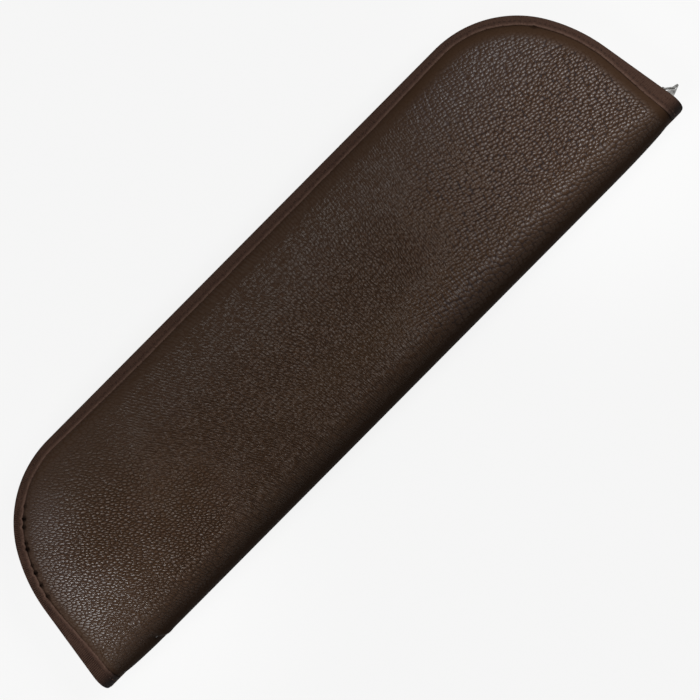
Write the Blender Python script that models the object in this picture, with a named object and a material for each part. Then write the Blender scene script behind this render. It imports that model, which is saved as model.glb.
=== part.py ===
"""Padded leather knife case that folds like a book and closes with a zip round three sides.

The case lies closed on its bottom cover. X runs along the fold (the spine), Y from the
spine to the long zipped side, Z up. The top cover opens about the spine.
"""

import math

import bmesh
import bpy
from mathutils import Vector

MM = 0.001
QUARTER_TURN = math.pi / 2

# Plan of a cover over its binding: an end leans in from the spine, then two arcs turn it
# into the straight long side.
CASE_WIDTH = 95 * MM
LONG_SIDE_HALF = 117.35 * MM
CORNER_RADIUS = 50 * MM
SHOULDER_RADIUS = 75 * MM
SHOULDER_ANGLE = math.radians(30)
END_LEAN = math.radians(9.1)

# Heights of a cover above the middle plane of the closed case
COVER_HEIGHT = 12.5 * MM
RESTING_FLAT = 0.5 * MM
ZIP_GAP_HALF = 4.2 * MM

# Sheet thicknesses
LEATHER = 0.9 * MM
LINING = 0.5 * MM
ZIP_TAPE = 0.5 * MM
BINDING = 0.6 * MM
CLEARANCE = 0.25 * MM

# Binding, padding and spine
BINDING_WIDTH = 4.7 * MM
SHEET_TUCK = 0.6 * MM
FOAM_FROM_BINDING = 2.5 * MM
FOAM_AT_CROWN = 5.3 * MM
FOAM_AT_SPINE = 4.0 * MM
PUFF_REACH = 42 * MM
PUFF_POWER = 2.6
SPINE_ROLL = 16 * MM
LINING_ROLL = 7 * MM
SPINE_DRAWN_IN = 1.5 * MM
SPINE_END_TUCK = 1.6 * MM

# Stitching on the binding
STITCH_FROM_EDGE = 0.8 * MM
THREAD_WIDTH = 0.7 * MM
THREAD_HEIGHT = 0.35 * MM

# Zip
ZIP_INSET = 3.0 * MM
TEETH_THICK = 2.2 * MM
TEETH_PITCH = 2.8 * MM
TOOTH_LENGTH = 1.25 * MM
TEETH_BEAD = 0.6 * MM
BEAD_PLAY = 0.5 * MM
STOP_LENGTH = 1.5 * MM
STOP_HEIGHT = 1.1 * MM
STOP_THICK = 1.1 * MM
STOP_GAP = 0.4 * MM
FAR_STOP_THICK = 2.6 * MM

# Slider, at rest at the closed end of the zip
SLIDER_LENGTH = 10.4 * MM
SLIDER_WAIST = 5.7 * MM
SLIDER_NOSE = 1.2 * MM
SLIDER_NOSE_PAST_FOLD = 0.2 * MM
SLIDER_REAR_TAPER = 0.25 * MM
SLIDER_PLATE = 0.7 * MM
SLIDER_RIM = 0.6 * MM
SLIDER_PLAY = 0.3 * MM
TAPE_PLAY = 0.6 * MM
POST_WIDTH = 0.6 * MM
POST_LENGTH = 2.2 * MM
POST_SETBACK = 0.3 * MM
POST_PLAY = 0.2 * MM

# Bridge, link and pull tab: heights from the slider's face, lengths from its nose
BRIDGE_WIDTH = 1.8 * MM
BRIDGE_HEIGHT = 6.5 * MM
BRIDGE_FOOT = 2.1 * MM
BRIDGE_SETBACK = 0.3 * MM
BRIDGE_OVERHANG = 1.9 * MM
BRIDGE_HEEL = 1.2 * MM
BRIDGE_TIP = 0.6 * MM
LINK_WIRE = 0.8 * MM
LINK_PLAY = 0.35 * MM
LINK_HOLE_PLAY = 0.25 * MM
LINK_BELOW_TIP = 1.8 * MM
LINK_BEHIND_BRIDGE = 0.45 * MM
KNUCKLE_WALL = 0.35 * MM
KNUCKLE_PLAY = 0.2 * MM
TAB_LENGTH = 20 * MM
TAB_THICK = 0.7 * MM
TAB_NECK_LENGTH = 1.6 * MM
TAB_NECK_PLAY = 0.3 * MM
TAB_FLARE = 4.0 * MM
TAB_PLAY = 0.7 * MM
TAB_HOLE = 3.2 * MM

# How finely curves are cut
ROLL_STEPS = 6
TAPE_TAIL_STEPS = 2
END_STEPS = 3
SHOULDER_STEPS = 3
CORNER_STEPS = 8
LONG_SIDE_COLUMNS = 8
PUFF_RINGS = (BINDING_WIDTH, 8.5 * MM, 14 * MM, 20 * MM, 28 * MM)
OUTLINE_SAMPLES = 48
ROUND_SIDES = 16
WIRE_SIDES = 8
TIP_STEPS = 4
FLARE_STEPS = 3
TAB_END_STEPS = 8

# Heights of the layers where they are held in the binding, from the zip outwards
LIP_TOP = ZIP_GAP_HALF + BINDING
TAPE_LOW = LIP_TOP + CLEARANCE
TAPE_TOP = TAPE_LOW + ZIP_TAPE
LINING_LOW = TAPE_TOP + CLEARANCE
LINING_TOP = LINING_LOW + LINING
LEATHER_LOW = LINING_TOP + CLEARANCE
LEATHER_TOP = LEATHER_LOW + LEATHER
UPPER_LIP_LOW = LEATHER_TOP + CLEARANCE
RIM_HEIGHT = UPPER_LIP_LOW + BINDING

# The binding turns round the fold about this line, and the halves part at the middle plane
FOLD_CENTRE = SPINE_DRAWN_IN + RIM_HEIGHT
PARTING = CLEARANCE / 2
LOWER_LIP = ZIP_INSET - ZIP_TAPE / 2 - CLEARANCE
SHEET_INSET = BINDING + SHEET_TUCK
FOAM_INSET = BINDING_WIDTH + FOAM_FROM_BINDING
STITCH_INSET = BINDING_WIDTH - STITCH_FROM_EDGE
THREAD_GAP = CLEARANCE / 5

# The slider fits between the lower lips of the bindings, and the teeth fit in its channel
SLIDER_HALF = ZIP_GAP_HALF - SLIDER_PLAY
SLIDER_THICK = TEETH_THICK + 2 * (SLIDER_PLAY + SLIDER_PLATE)
SLIDER_SLOT = ZIP_TAPE + 2 * TAPE_PLAY
BEAD_TOP = SLIDER_HALF - SLIDER_RIM - BEAD_PLAY
TEETH_ROOT = BEAD_TOP - TEETH_BEAD
TEETH_TIP = POST_WIDTH / 2 + POST_PLAY
STOP_TOP = TEETH_ROOT
SLIDER_NOSE_Y = FOLD_CENTRE - SLIDER_NOSE_PAST_FOLD

# The bridge stands on the slider's outer face, the link hangs in it, and the tab's knuckle rides on the link
BRIDGE_FACE = SLIDER_THICK / 2 + CLEARANCE
BRIDGE_TIP_OUT = BRIDGE_FACE + BRIDGE_HEIGHT
BRIDGE_BASE = BRIDGE_SETBACK + BRIDGE_FOOT
KNUCKLE_BORE = LINK_WIRE / 2 + KNUCKLE_PLAY
KNUCKLE = KNUCKLE_BORE + KNUCKLE_WALL
LINK_INNER_WIDTH = BRIDGE_WIDTH + 2 * LINK_PLAY
LINK_HOLE = LINK_WIRE / 2 + LINK_HOLE_PLAY
LINK_TOP = (BRIDGE_TIP_OUT - LINK_BELOW_TIP, -BRIDGE_TIP / 3)
LINK_FOOT = (BRIDGE_FACE + KNUCKLE, BRIDGE_BASE + LINK_BEHIND_BRIDGE + KNUCKLE)
TAB_NECK = LINK_INNER_WIDTH / 2 - TAB_NECK_PLAY
TAB_HALF = ZIP_GAP_HALF - TAB_PLAY

# Plan arcs: (centre x, centre y, radius) for the corner and the shoulder
CORNER = (LONG_SIDE_HALF, CASE_WIDTH - CORNER_RADIUS, CORNER_RADIUS)
SHOULDER = (
    CORNER[0] + (CORNER_RADIUS - SHOULDER_RADIUS) * math.cos(SHOULDER_ANGLE),
    CORNER[1] + (CORNER_RADIUS - SHOULDER_RADIUS) * math.sin(SHOULDER_ANGLE),
    SHOULDER_RADIUS,
)
END_TOP_X = SHOULDER[0] + SHOULDER_RADIUS * math.cos(END_LEAN)
END_TOP_Y = SHOULDER[1] + SHOULDER_RADIUS * math.sin(END_LEAN)


def end_x(y):
    """X of the binding's outer edge on the leaning right-hand end, at a distance y from the spine."""
    return END_TOP_X + (END_TOP_Y - y) * math.tan(END_LEAN)


def clear_scene():
    """Removes whatever the scene holds."""
    for obj in list(bpy.data.objects):
        bpy.data.objects.remove(obj, do_unlink=True)


def material(name, colour, roughness, metallic=0.0):
    """A Principled material of one colour."""
    made = bpy.data.materials.new(name)
    made.use_nodes = True
    shader = made.node_tree.nodes["Principled BSDF"]
    shader.inputs["Base Color"].default_value = (*colour, 1.0)
    shader.inputs["Roughness"].default_value = roughness
    shader.inputs["Metallic"].default_value = metallic
    return made


def finish_mesh(name, mesh_data, surface, smooth_angle=30):
    """Makes an object of a bmesh, with its faces pointing out and round faces shaded smooth."""
    bmesh.ops.recalc_face_normals(mesh_data, faces=mesh_data.faces)
    mesh = bpy.data.meshes.new(name)
    mesh_data.to_mesh(mesh)
    mesh_data.free()
    mesh.shade_smooth()
    mesh.set_sharp_from_angle(angle=math.radians(smooth_angle))
    mesh.materials.append(surface)
    obj = bpy.data.objects.new(name, mesh)
    bpy.context.scene.collection.objects.link(obj)
    return obj


def to_world(x, y, height, side):
    """World place of a point: y from the spine, height from the middle plane, side +1 top or -1 bottom."""
    return Vector((x - MIDDLE_X, y - MIDDLE_Y, COVER_HEIGHT + side * height))


def arc_at(angle):
    """The plan arc whose outward normal has this angle."""
    return CORNER if angle >= SHOULDER_ANGLE else SHOULDER


def inset_at(x, y):
    """Distance inwards from the outer edge of the binding to a plan point."""
    nearest = CASE_WIDTH
    for step in range(OUTLINE_SAMPLES + 1):
        angle = END_LEAN + (QUARTER_TURN - END_LEAN) * step / OUTLINE_SAMPLES
        centre_x, centre_y, radius = arc_at(angle)
        across = (centre_x - abs(x)) * math.cos(angle)
        along = (centre_y - y) * math.sin(angle)
        nearest = min(nearest, across + along + radius)
    return nearest


class Station:
    """One place along the edge of a cover, from the middle plane at one end of the spine to the other."""

    def __init__(self, hand, turn, place, angle):
        """hand is +1 right or -1 left, turn the angle round the fold, place (x, y), angle the normal's."""
        self.hand = hand
        self.turn = turn
        self.place = place
        self.angle = angle

    def at_fold(self):
        """True where the edge goes round the fold."""
        return self.turn is not None

    def point(self, inset, height):
        """(x, y, height) of a point of the cover's edge at this station."""
        if self.at_fold():
            y = FOLD_CENTRE - height * math.cos(self.turn)
            x = end_x(y) - inset / math.cos(END_LEAN) - SPINE_END_TUCK * (1 - math.sin(self.turn))
            return self.hand * x, y, PARTING + (height - PARTING) * math.sin(self.turn)
        if self.angle == END_LEAN:
            return self.hand * (self.place[0] - inset / math.cos(END_LEAN)), self.place[1], height
        x = self.place[0] - inset * math.cos(self.angle)
        return self.hand * x, self.place[1] - inset * math.sin(self.angle), height


def half_stations():
    """Stations of the right-hand end, from the spine to the start of the straight long side."""
    made = []
    for step in range(ROLL_STEPS + 1):
        made.append(Station(1, QUARTER_TURN * step / ROLL_STEPS, None, None))
    for step in range(1, END_STEPS):
        y = FOLD_CENTRE + (END_TOP_Y - FOLD_CENTRE) * step / END_STEPS
        made.append(Station(1, None, (end_x(y), y), END_LEAN))
    angles = []
    for step in range(SHOULDER_STEPS):
        angles.append(END_LEAN + (SHOULDER_ANGLE - END_LEAN) * step / SHOULDER_STEPS)
    for step in range(CORNER_STEPS + 1):
        angles.append(SHOULDER_ANGLE + (QUARTER_TURN - SHOULDER_ANGLE) * step / CORNER_STEPS)
    for angle in angles:
        centre_x, centre_y, radius = arc_at(angle)
        x = centre_x + radius * math.cos(angle)
        y = centre_y + radius * math.sin(angle)
        made.append(Station(1, None, (x, y), angle))
    return made


def all_stations():
    """Stations round the whole edge, and how many lie on each half before the long side."""
    right = half_stations()
    columns = []
    for step in range(1, LONG_SIDE_COLUMNS + 1):
        x = LONG_SIDE_HALF * (1 - 2 * step / (LONG_SIDE_COLUMNS + 1))
        columns.append(Station(1, None, (x, CASE_WIDTH), QUARTER_TURN))
    left = []
    for station in reversed(right):
        left.append(Station(-1, station.turn, station.place, station.angle))
    return right + columns + left, len(right)


STATIONS, HALF_COUNT = all_stations()
FIRST_FLAT = ROLL_STEPS
LAST_FLAT = len(STATIONS) - 1 - ROLL_STEPS

# The frame's origin is under the middle of the whole object, with the bridge past its right-hand end
CASE_END_X = max(station.point(0.0, RIM_HEIGHT - BINDING)[0] for station in STATIONS)
NOSE_X = end_x(SLIDER_NOSE_Y) - ZIP_INSET / math.cos(END_LEAN)
BRIDGE_TIP_X = NOSE_X + BRIDGE_TIP_OUT * math.cos(END_LEAN)
MIDDLE_X = (BRIDGE_TIP_X - CASE_END_X) / 2
MIDDLE_Y = CASE_WIDTH / 2


class Skin:
    """A curved face of a cover: held at the rim, crowned in the middle, rolled over at the spine."""

    def __init__(self, rim, crown, spine, roll, limit=None):
        """rim and crown are heights, spine the distance in from the fold, roll how far the roll reaches."""
        self.rim = rim
        self.crown = crown
        self.spine = spine
        self.roll = roll
        self.limit = limit if limit is not None else max(rim, crown)

    def puff(self, inset):
        """How far the padding has swelled at a distance in from the edge, 0 to 1."""
        share = min(max((inset - BINDING_WIDTH) / PUFF_REACH, 0.0), 1.0)
        return 1 - (1 - share) ** PUFF_POWER

    def point(self, x, y, turn, inset):
        """The face's point over a plan point, or at an angle round the roll of the spine."""
        swell = self.puff(inset)
        height = min(self.rim + (self.crown - self.rim) * swell, self.limit)
        if turn is None:
            return x, y, height
        start = (FOLD_CENTRE - self.rim) * (1 - swell) + self.spine * swell
        reach = self.rim * (1 - swell) + self.roll * swell
        rise = PARTING + (height - PARTING) * math.sin(turn)
        return x, start + reach * (1 - math.cos(turn)), rise

    def moved(self, gap):
        """The same face moved in towards the hollow of the case."""
        return Skin(self.rim - gap, self.crown - gap, self.spine + gap, self.roll - gap, self.limit - gap)


def outer_skin(side):
    """The outside face of the leather. The bottom cover is pressed flat where it rests."""
    if side > 0:
        return Skin(LEATHER_TOP, COVER_HEIGHT, 0.0, SPINE_ROLL)
    return Skin(LEATHER_TOP, COVER_HEIGHT + RESTING_FLAT, 0.0, SPINE_ROLL, COVER_HEIGHT)


def lining_skin():
    """The padding side of the lining, which bulges a little into the case."""
    spine = LEATHER + CLEARANCE + FOAM_AT_SPINE + CLEARANCE
    crown = COVER_HEIGHT - LEATHER - FOAM_AT_CROWN - 2 * CLEARANCE
    return Skin(LINING_TOP, crown, spine, LINING_ROLL)


def sheet_grid(skin, rings):
    """Points of a face as (rings, rows): rings round the edge, rows across the middle."""
    ring_points = []
    for inset in rings:
        ring = []
        for station in STATIONS:
            x, y, _ = station.point(inset, LEATHER_TOP)
            ring.append(skin.point(x, y, station.turn, inset))
        ring_points.append(ring)
    rows = []
    for index in range(HALF_COUNT - 1):
        station = STATIONS[index]
        x_right, y, _ = station.point(rings[-1], LEATHER_TOP)
        row = []
        for step in range(1, LONG_SIDE_COLUMNS + 1):
            x = x_right * (1 - 2 * step / (LONG_SIDE_COLUMNS + 1))
            tuck = SPINE_END_TUCK * (1 - math.sin(station.turn)) if station.at_fold() else 0.0
            inset = inset_at(abs(x) + tuck, y)
            if station.at_fold():
                inset = (end_x(y) - tuck - abs(x)) * math.cos(END_LEAN)
            row.append(skin.point(x, y, station.turn, inset))
        rows.append(row)
    return ring_points, rows


def add_grid(mesh_data, skin, rings, side):
    """Adds one face of a sheet to a bmesh and gives the loop of vertices round its edge."""
    ring_points, row_points = sheet_grid(skin, rings)
    ring_verts = []
    for ring in ring_points:
        ring_verts.append([mesh_data.verts.new(to_world(*p, side)) for p in ring])
    for outer, inner in zip(ring_verts, ring_verts[1:]):
        for i in range(len(STATIONS) - 1):
            mesh_data.faces.new((outer[i], outer[i + 1], inner[i + 1], inner[i]))
    last = ring_verts[-1]
    rows = []
    for i, row in enumerate(row_points):
        middle = [mesh_data.verts.new(to_world(*p, side)) for p in row]
        rows.append([last[i], *middle, last[len(STATIONS) - 1 - i]])
    rows.append(last[HALF_COUNT - 1:len(STATIONS) - HALF_COUNT + 1])
    for low, high in zip(rows, rows[1:]):
        for i in range(len(low) - 1):
            mesh_data.faces.new((low[i], high[i], high[i + 1], low[i + 1]))
    left_side = [ring[-1] for ring in ring_verts[1:]]
    right_side = [ring[0] for ring in reversed(ring_verts[1:])]
    return ring_verts[0] + left_side + list(reversed(rows[0][1:-1])) + right_side


def sheet(name, outside, inside, rings, side, surface):
    """A closed sheet between two faces, from the edge of a cover to the fold."""
    mesh_data = bmesh.new()
    outer_loop = add_grid(mesh_data, outside, rings, side)
    inner_loop = add_grid(mesh_data, inside, rings, side)
    count = len(outer_loop)
    for i in range(count):
        after = (i + 1) % count
        mesh_data.faces.new((outer_loop[i], outer_loop[after], inner_loop[after], inner_loop[i]))
    return finish_mesh(name, mesh_data, surface)


def edge_strip(name, profile, stations, side, surface):
    """A strip with one profile of (inset, height) points, swept along the edge of a cover."""
    mesh_data = bmesh.new()
    sections = []
    for station in stations:
        points = [station.point(inset, height) for inset, height in profile]
        sections.append([mesh_data.verts.new(to_world(*p, side)) for p in points])
    count = len(profile)
    for first, second in zip(sections, sections[1:]):
        for i in range(count):
            after = (i + 1) % count
            mesh_data.faces.new((first[i], first[after], second[after], second[i]))
    mesh_data.faces.new(sections[0])
    mesh_data.faces.new(list(reversed(sections[-1])))
    return finish_mesh(name, mesh_data, surface)


def binding_profile():
    """Tape folded over the edge of a cover, open towards the inside, its outer corners eased."""
    ease = BINDING
    return [
        (ease, ZIP_GAP_HALF),
        (LOWER_LIP, ZIP_GAP_HALF),
        (LOWER_LIP, LIP_TOP),
        (BINDING, LIP_TOP),
        (BINDING, UPPER_LIP_LOW),
        (BINDING_WIDTH, UPPER_LIP_LOW),
        (BINDING_WIDTH, RIM_HEIGHT),
        (ease, RIM_HEIGHT),
        (0.0, RIM_HEIGHT - ease),
        (0.0, ZIP_GAP_HALF + ease),
    ]


def stitch_profile():
    """The line of thread that lies on the binding."""
    low = RIM_HEIGHT + THREAD_GAP
    return [
        (STITCH_INSET - THREAD_WIDTH / 2, low),
        (STITCH_INSET + THREAD_WIDTH / 2, low),
        (STITCH_INSET + THREAD_WIDTH / 4, low + THREAD_HEIGHT),
        (STITCH_INSET - THREAD_WIDTH / 4, low + THREAD_HEIGHT),
    ]


def tape_profile():
    """Zip tape: held flat in the binding, then turned down beside its lower lip to the teeth."""
    outer = ZIP_INSET - ZIP_TAPE / 2
    inner = ZIP_INSET + ZIP_TAPE / 2
    edge = BEAD_TOP + CLEARANCE
    return [
        (SHEET_INSET, TAPE_LOW),
        (outer, TAPE_LOW),
        (outer, edge),
        (inner, edge),
        (inner, TAPE_TOP),
        (SHEET_INSET, TAPE_TOP),
    ]


class ZipTrack:
    """The zip's line round the case at its inset, measured from the spine at the right-hand end."""

    def __init__(self):
        """Works out the lengths of the end, the arcs and the long side."""
        self.end = (END_TOP_Y - ZIP_INSET * math.sin(END_LEAN)) / math.cos(END_LEAN)
        self.shoulder = (SHOULDER_RADIUS - ZIP_INSET) * (SHOULDER_ANGLE - END_LEAN)
        self.corner = (CORNER_RADIUS - ZIP_INSET) * (QUARTER_TURN - SHOULDER_ANGLE)
        self.half = self.end + self.shoulder + self.corner + LONG_SIDE_HALF

    def at(self, distance):
        """(x, y, angle of the outward normal) at a distance along the track."""
        if distance > self.half:
            x, y, angle = self.at(2 * self.half - distance)
            return -x, y, math.pi - angle
        if distance < self.end:
            y = distance * math.cos(END_LEAN)
            return end_x(y) - ZIP_INSET / math.cos(END_LEAN), y, END_LEAN
        distance -= self.end
        if distance < self.shoulder:
            return self.on_arc(SHOULDER, END_LEAN + distance / (SHOULDER_RADIUS - ZIP_INSET))
        distance -= self.shoulder
        if distance < self.corner:
            return self.on_arc(CORNER, SHOULDER_ANGLE + distance / (CORNER_RADIUS - ZIP_INSET))
        return LONG_SIDE_HALF - (distance - self.corner), CASE_WIDTH - ZIP_INSET, QUARTER_TURN

    def on_arc(self, arc, angle):
        """The track's point on a plan arc."""
        reach = arc[2] - ZIP_INSET
        return arc[0] + reach * math.cos(angle), arc[1] + reach * math.sin(angle), angle

    def from_spine(self, y):
        """Distance along the track at which it is y from the spine, on the right-hand end."""
        return y / math.cos(END_LEAN)


def teeth_row(name, start, stop, side, surface):
    """A row of zip teeth on their bead, from one distance along the track to another."""
    track = ZipTrack()
    mesh_data = bmesh.new()
    sections = []
    count = int((stop - start - TOOTH_LENGTH) / TEETH_PITCH) + 1
    for k in range(count):
        for distance in (start + k * TEETH_PITCH, start + k * TEETH_PITCH + TOOTH_LENGTH):
            x, y, angle = track.at(distance)
            out = Vector((math.cos(angle), math.sin(angle)))
            section = []
            for away, height in teeth_corners():
                section.append(mesh_data.verts.new(to_world(x + away * out.x, y + away * out.y, height, side)))
            sections.append(section)
    tips = []
    for i, (first, second) in enumerate(zip(sections, sections[1:])):
        faces = []
        for corner in range(4):
            after = (corner + 1) % 4
            faces.append(mesh_data.faces.new((first[corner], first[after], second[after], second[corner])))
        if i % 2 == 0:
            tips.append(faces[0])
    mesh_data.faces.new(sections[0])
    mesh_data.faces.new(list(reversed(sections[-1])))
    grown = bmesh.ops.extrude_discrete_faces(mesh_data, faces=tips)
    drop = Vector((0, 0, -side * (TEETH_ROOT - TEETH_TIP)))
    moved = {vert for face in grown["faces"] for vert in face.verts}
    bmesh.ops.translate(mesh_data, verts=list(moved), vec=drop)
    return finish_mesh(name, mesh_data, surface)


def teeth_corners():
    """Corners of the bead as (distance out from the tape's plane, height), the tooth side first."""
    half = TEETH_THICK / 2
    return [(half, TEETH_ROOT), (-half, TEETH_ROOT), (-half, BEAD_TOP), (half, BEAD_TOP)]


def track_block(name, start, length, thick, low, high, side, surface):
    """A small block on the zip's line, such as a stop."""
    track = ZipTrack()
    mesh_data = bmesh.new()
    sections = []
    for distance in (start, start + length):
        x, y, angle = track.at(distance)
        section = []
        for away, height in ((thick / 2, low), (-thick / 2, low), (-thick / 2, high), (thick / 2, high)):
            place = to_world(x + away * math.cos(angle), y + away * math.sin(angle), height, side)
            section.append(mesh_data.verts.new(place))
        sections.append(section)
    for corner in range(4):
        after = (corner + 1) % 4
        mesh_data.faces.new((sections[0][corner], sections[0][after], sections[1][after], sections[1][corner]))
    mesh_data.faces.new(sections[0])
    mesh_data.faces.new(list(reversed(sections[1])))
    return finish_mesh(name, mesh_data, surface)


def prism(name, outline, low, high, surface=None, along="X"):
    """A closed outline of two coordinates, extruded from low to high along X or Z."""
    mesh_data = bmesh.new()
    base = []
    for first, second in outline:
        place = (low, first, second) if along == "X" else (first, second, low)
        base.append(mesh_data.verts.new(place))
    face = mesh_data.faces.new(base)
    grown = bmesh.ops.extrude_face_region(mesh_data, geom=[face])
    push = Vector((high - low, 0, 0)) if along == "X" else Vector((0, 0, high - low))
    moved = [part for part in grown["geom"] if isinstance(part, bmesh.types.BMVert)]
    bmesh.ops.translate(mesh_data, verts=moved, vec=push)
    return finish_mesh(name, mesh_data, surface)


def rounded(centre_first, centre_second, radius, start, stop, steps):
    """Points of an arc in a plane, with its angles in degrees."""
    made = []
    for step in range(steps + 1):
        angle = math.radians(start + (stop - start) * step / steps)
        made.append((centre_first + radius * math.cos(angle), centre_second + radius * math.sin(angle)))
    return made


def boolean(obj, other, operation):
    """Cuts one object from another, or joins them, and hides the one that was used."""
    modifier = obj.modifiers.new(other.name, "BOOLEAN")
    modifier.operation = operation
    modifier.solver = "EXACT"
    modifier.object = other
    other.hide_render = True
    other.display_type = "WIRE"


def slider_frame():
    """An empty at the slider's nose on the zip's line: X out of the case, Y along the closed zip."""
    frame = bpy.data.objects.new("slider_axis", None)
    x, y, angle = ZipTrack().at(ZipTrack().from_spine(SLIDER_NOSE_Y))
    frame.location = to_world(x, y, 0.0, 1)
    frame.rotation_euler = (0, 0, angle)
    bpy.context.scene.collection.objects.link(frame)
    return frame


def pivot(name, parent, out, back):
    """An empty on a joint's axis, in the slider's own frame."""
    empty = bpy.data.objects.new(name, None)
    empty.parent = parent
    empty.location = (out, back, 0)
    bpy.context.scene.collection.objects.link(empty)
    return empty


def ring(centre_first, centre_second, radius):
    """Points of a whole circle in a plane."""
    return rounded(centre_first, centre_second, radius, 0, 360 - 360 / ROUND_SIDES, ROUND_SIDES - 1)


def slider_plan(margin, past):
    """The slider seen square to its face, drawn in by a margin and run past its ends: (along, height)."""
    front = SLIDER_HALF - margin
    rear = front - SLIDER_REAR_TAPER
    upper = [
        (-past, front - SLIDER_NOSE),
        (SLIDER_NOSE - past, front),
        (SLIDER_WAIST, front),
        (SLIDER_LENGTH + past, rear),
    ]
    return upper + [(along, -height) for along, height in reversed(upper)]


def zip_slider(frame, surface):
    """The slider's two plates with the zip's channel between them, joined by the post at its nose."""
    half = SLIDER_THICK / 2
    channel = half - SLIDER_PLATE
    past = 2 * SLIDER_NOSE
    body = prism("zip_slider", slider_plan(0.0, 0.0), -half, half, surface)
    channel_cut = prism("slider_channel_cut", slider_plan(SLIDER_RIM, past), -channel, channel)
    slot_plan = slider_plan(-SLIDER_RIM, past)
    slot_cut = prism("slider_slot_cut", slot_plan, -SLIDER_SLOT / 2, SLIDER_SLOT / 2)
    post = POST_WIDTH / 2
    post_end = POST_SETBACK + POST_LENGTH
    post_plan = [(POST_SETBACK, -post), (post_end, -post), (post_end, post), (POST_SETBACK, post)]
    post_reach = half - SLIDER_PLATE / 2
    post_block = prism("slider_post", post_plan, -post_reach, post_reach)
    for helper in (channel_cut, slot_cut, post_block):
        helper.parent = frame
    body.parent = frame
    boolean(body, channel_cut, "DIFFERENCE")
    boolean(body, slot_cut, "DIFFERENCE")
    boolean(body, post_block, "UNION")
    return body


def slider_bridge(frame, surface):
    """The fin on the slider's outer face, which leans over its nose and holds the link."""
    outline = [(BRIDGE_FACE, BRIDGE_SETBACK), (BRIDGE_FACE, BRIDGE_BASE)]
    outline += rounded(BRIDGE_TIP_OUT - BRIDGE_TIP, -BRIDGE_TIP / 2, BRIDGE_TIP, 60, -90, TIP_STEPS)
    outline.append((BRIDGE_FACE + BRIDGE_HEEL, -BRIDGE_OVERHANG))
    half = BRIDGE_WIDTH / 2
    fin = prism("slider_bridge", outline, -half, half, surface, along="Z")
    hole = prism("bridge_hole_cut", ring(*LINK_TOP, LINK_HOLE), -BRIDGE_WIDTH, BRIDGE_WIDTH, along="Z")
    fin.parent = frame
    hole.parent = frame
    boolean(fin, hole, "DIFFERENCE")
    return fin


def wire_loop(name, span, inner_width, surface):
    """A closed ring of round wire: one bar at the origin, one at the end of span, and two arms."""
    mesh_data = bmesh.new()
    half = inner_width / 2 + LINK_WIRE / 2
    length = span.length
    way = span.normalized()
    side_way = Vector((-way.y, way.x, 0))
    turned = []
    for along, height in ((0.0, -half), (0.0, half), (length, half), (length, -half)):
        outwards = way * (1 if along > 0 else -1) + Vector((0, 0, 1 if height > 0 else -1))
        corner = way * along + Vector((0, 0, height))
        section = []
        for step in range(WIRE_SIDES):
            angle = 2 * math.pi * (step + 0.5) / WIRE_SIDES
            place = corner + LINK_WIRE / 2 * (outwards * math.cos(angle) + side_way * math.sin(angle))
            section.append(mesh_data.verts.new(place))
        turned.append(section)
    for section, following in zip(turned, turned[1:] + turned[:1]):
        for step in range(WIRE_SIDES):
            after = (step + 1) % WIRE_SIDES
            mesh_data.faces.new((section[step], section[after], following[after], following[step]))
    return finish_mesh(name, mesh_data, surface, 50)


def pull_tab(pivot_empty, surface):
    """The flat pull: a knuckle round the link's lower bar, a neck and a round-ended plate with a hole."""
    low = -KNUCKLE
    high = low + TAB_THICK
    start = KNUCKLE + TAB_NECK_LENGTH
    edge = [(0.0, TAB_NECK)]
    for step in range(FLARE_STEPS + 1):
        angle = QUARTER_TURN * step / FLARE_STEPS
        spread = TAB_NECK + (TAB_HALF - TAB_NECK) * math.sin(angle)
        edge.append((start + TAB_FLARE * (1 - math.cos(angle)), spread))
    round_centre = TAB_LENGTH - TAB_HALF
    plan = [(along, -height) for along, height in edge]
    plan += rounded(round_centre, 0.0, TAB_HALF, -90, 90, TAB_END_STEPS)
    plan += list(reversed(edge))
    tab = prism("pull_tab", plan, low, high, surface)
    knuckle = prism("pull_knuckle", ring(0.0, 0.0, KNUCKLE), -TAB_NECK, TAB_NECK, along="Z")
    bore_cut = prism("pull_bore_cut", ring(0.0, 0.0, KNUCKLE_BORE), -TAB_HALF, TAB_HALF, along="Z")
    hole_cut = prism("pull_hole_cut", ring(round_centre, 0.0, TAB_HOLE / 2), low - TAB_THICK, high + TAB_THICK)
    for helper in (knuckle, bore_cut, hole_cut):
        helper.parent = pivot_empty
    tab.parent = pivot_empty
    boolean(tab, knuckle, "UNION")
    boolean(tab, bore_cut, "DIFFERENCE")
    boolean(tab, hole_cut, "DIFFERENCE")
    return tab


def build_cover(name, side, finishes):
    """The sheets, padding and binding of one cover."""
    outside = outer_skin(side)
    leather_inside = outside.moved(LEATHER)
    lining_outside = lining_skin()
    rings = (SHEET_INSET, *PUFF_RINGS)
    foam_rings = (FOAM_INSET, *[ring for ring in PUFF_RINGS if ring > FOAM_INSET])
    sheet(f"{name}_leather", outside, leather_inside, rings, side, finishes["leather"])
    sheet(
        f"{name}_foam",
        leather_inside.moved(CLEARANCE),
        lining_outside.moved(-CLEARANCE),
        foam_rings,
        side,
        finishes["foam"],
    )
    sheet(f"{name}_lining", lining_outside, lining_outside.moved(LINING), rings, side, finishes["lining"])
    edge_strip(f"{name}_binding", binding_profile(), STATIONS, side, finishes["binding"])
    edge_strip(f"{name}_binding_stitch", stitch_profile(), STATIONS, side, finishes["thread"])
    flat = STATIONS[FIRST_FLAT - TAPE_TAIL_STEPS:LAST_FLAT + TAPE_TAIL_STEPS + 1]
    edge_strip(f"{name}_zip_tape", tape_profile(), flat, side, finishes["tape"])


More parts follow.
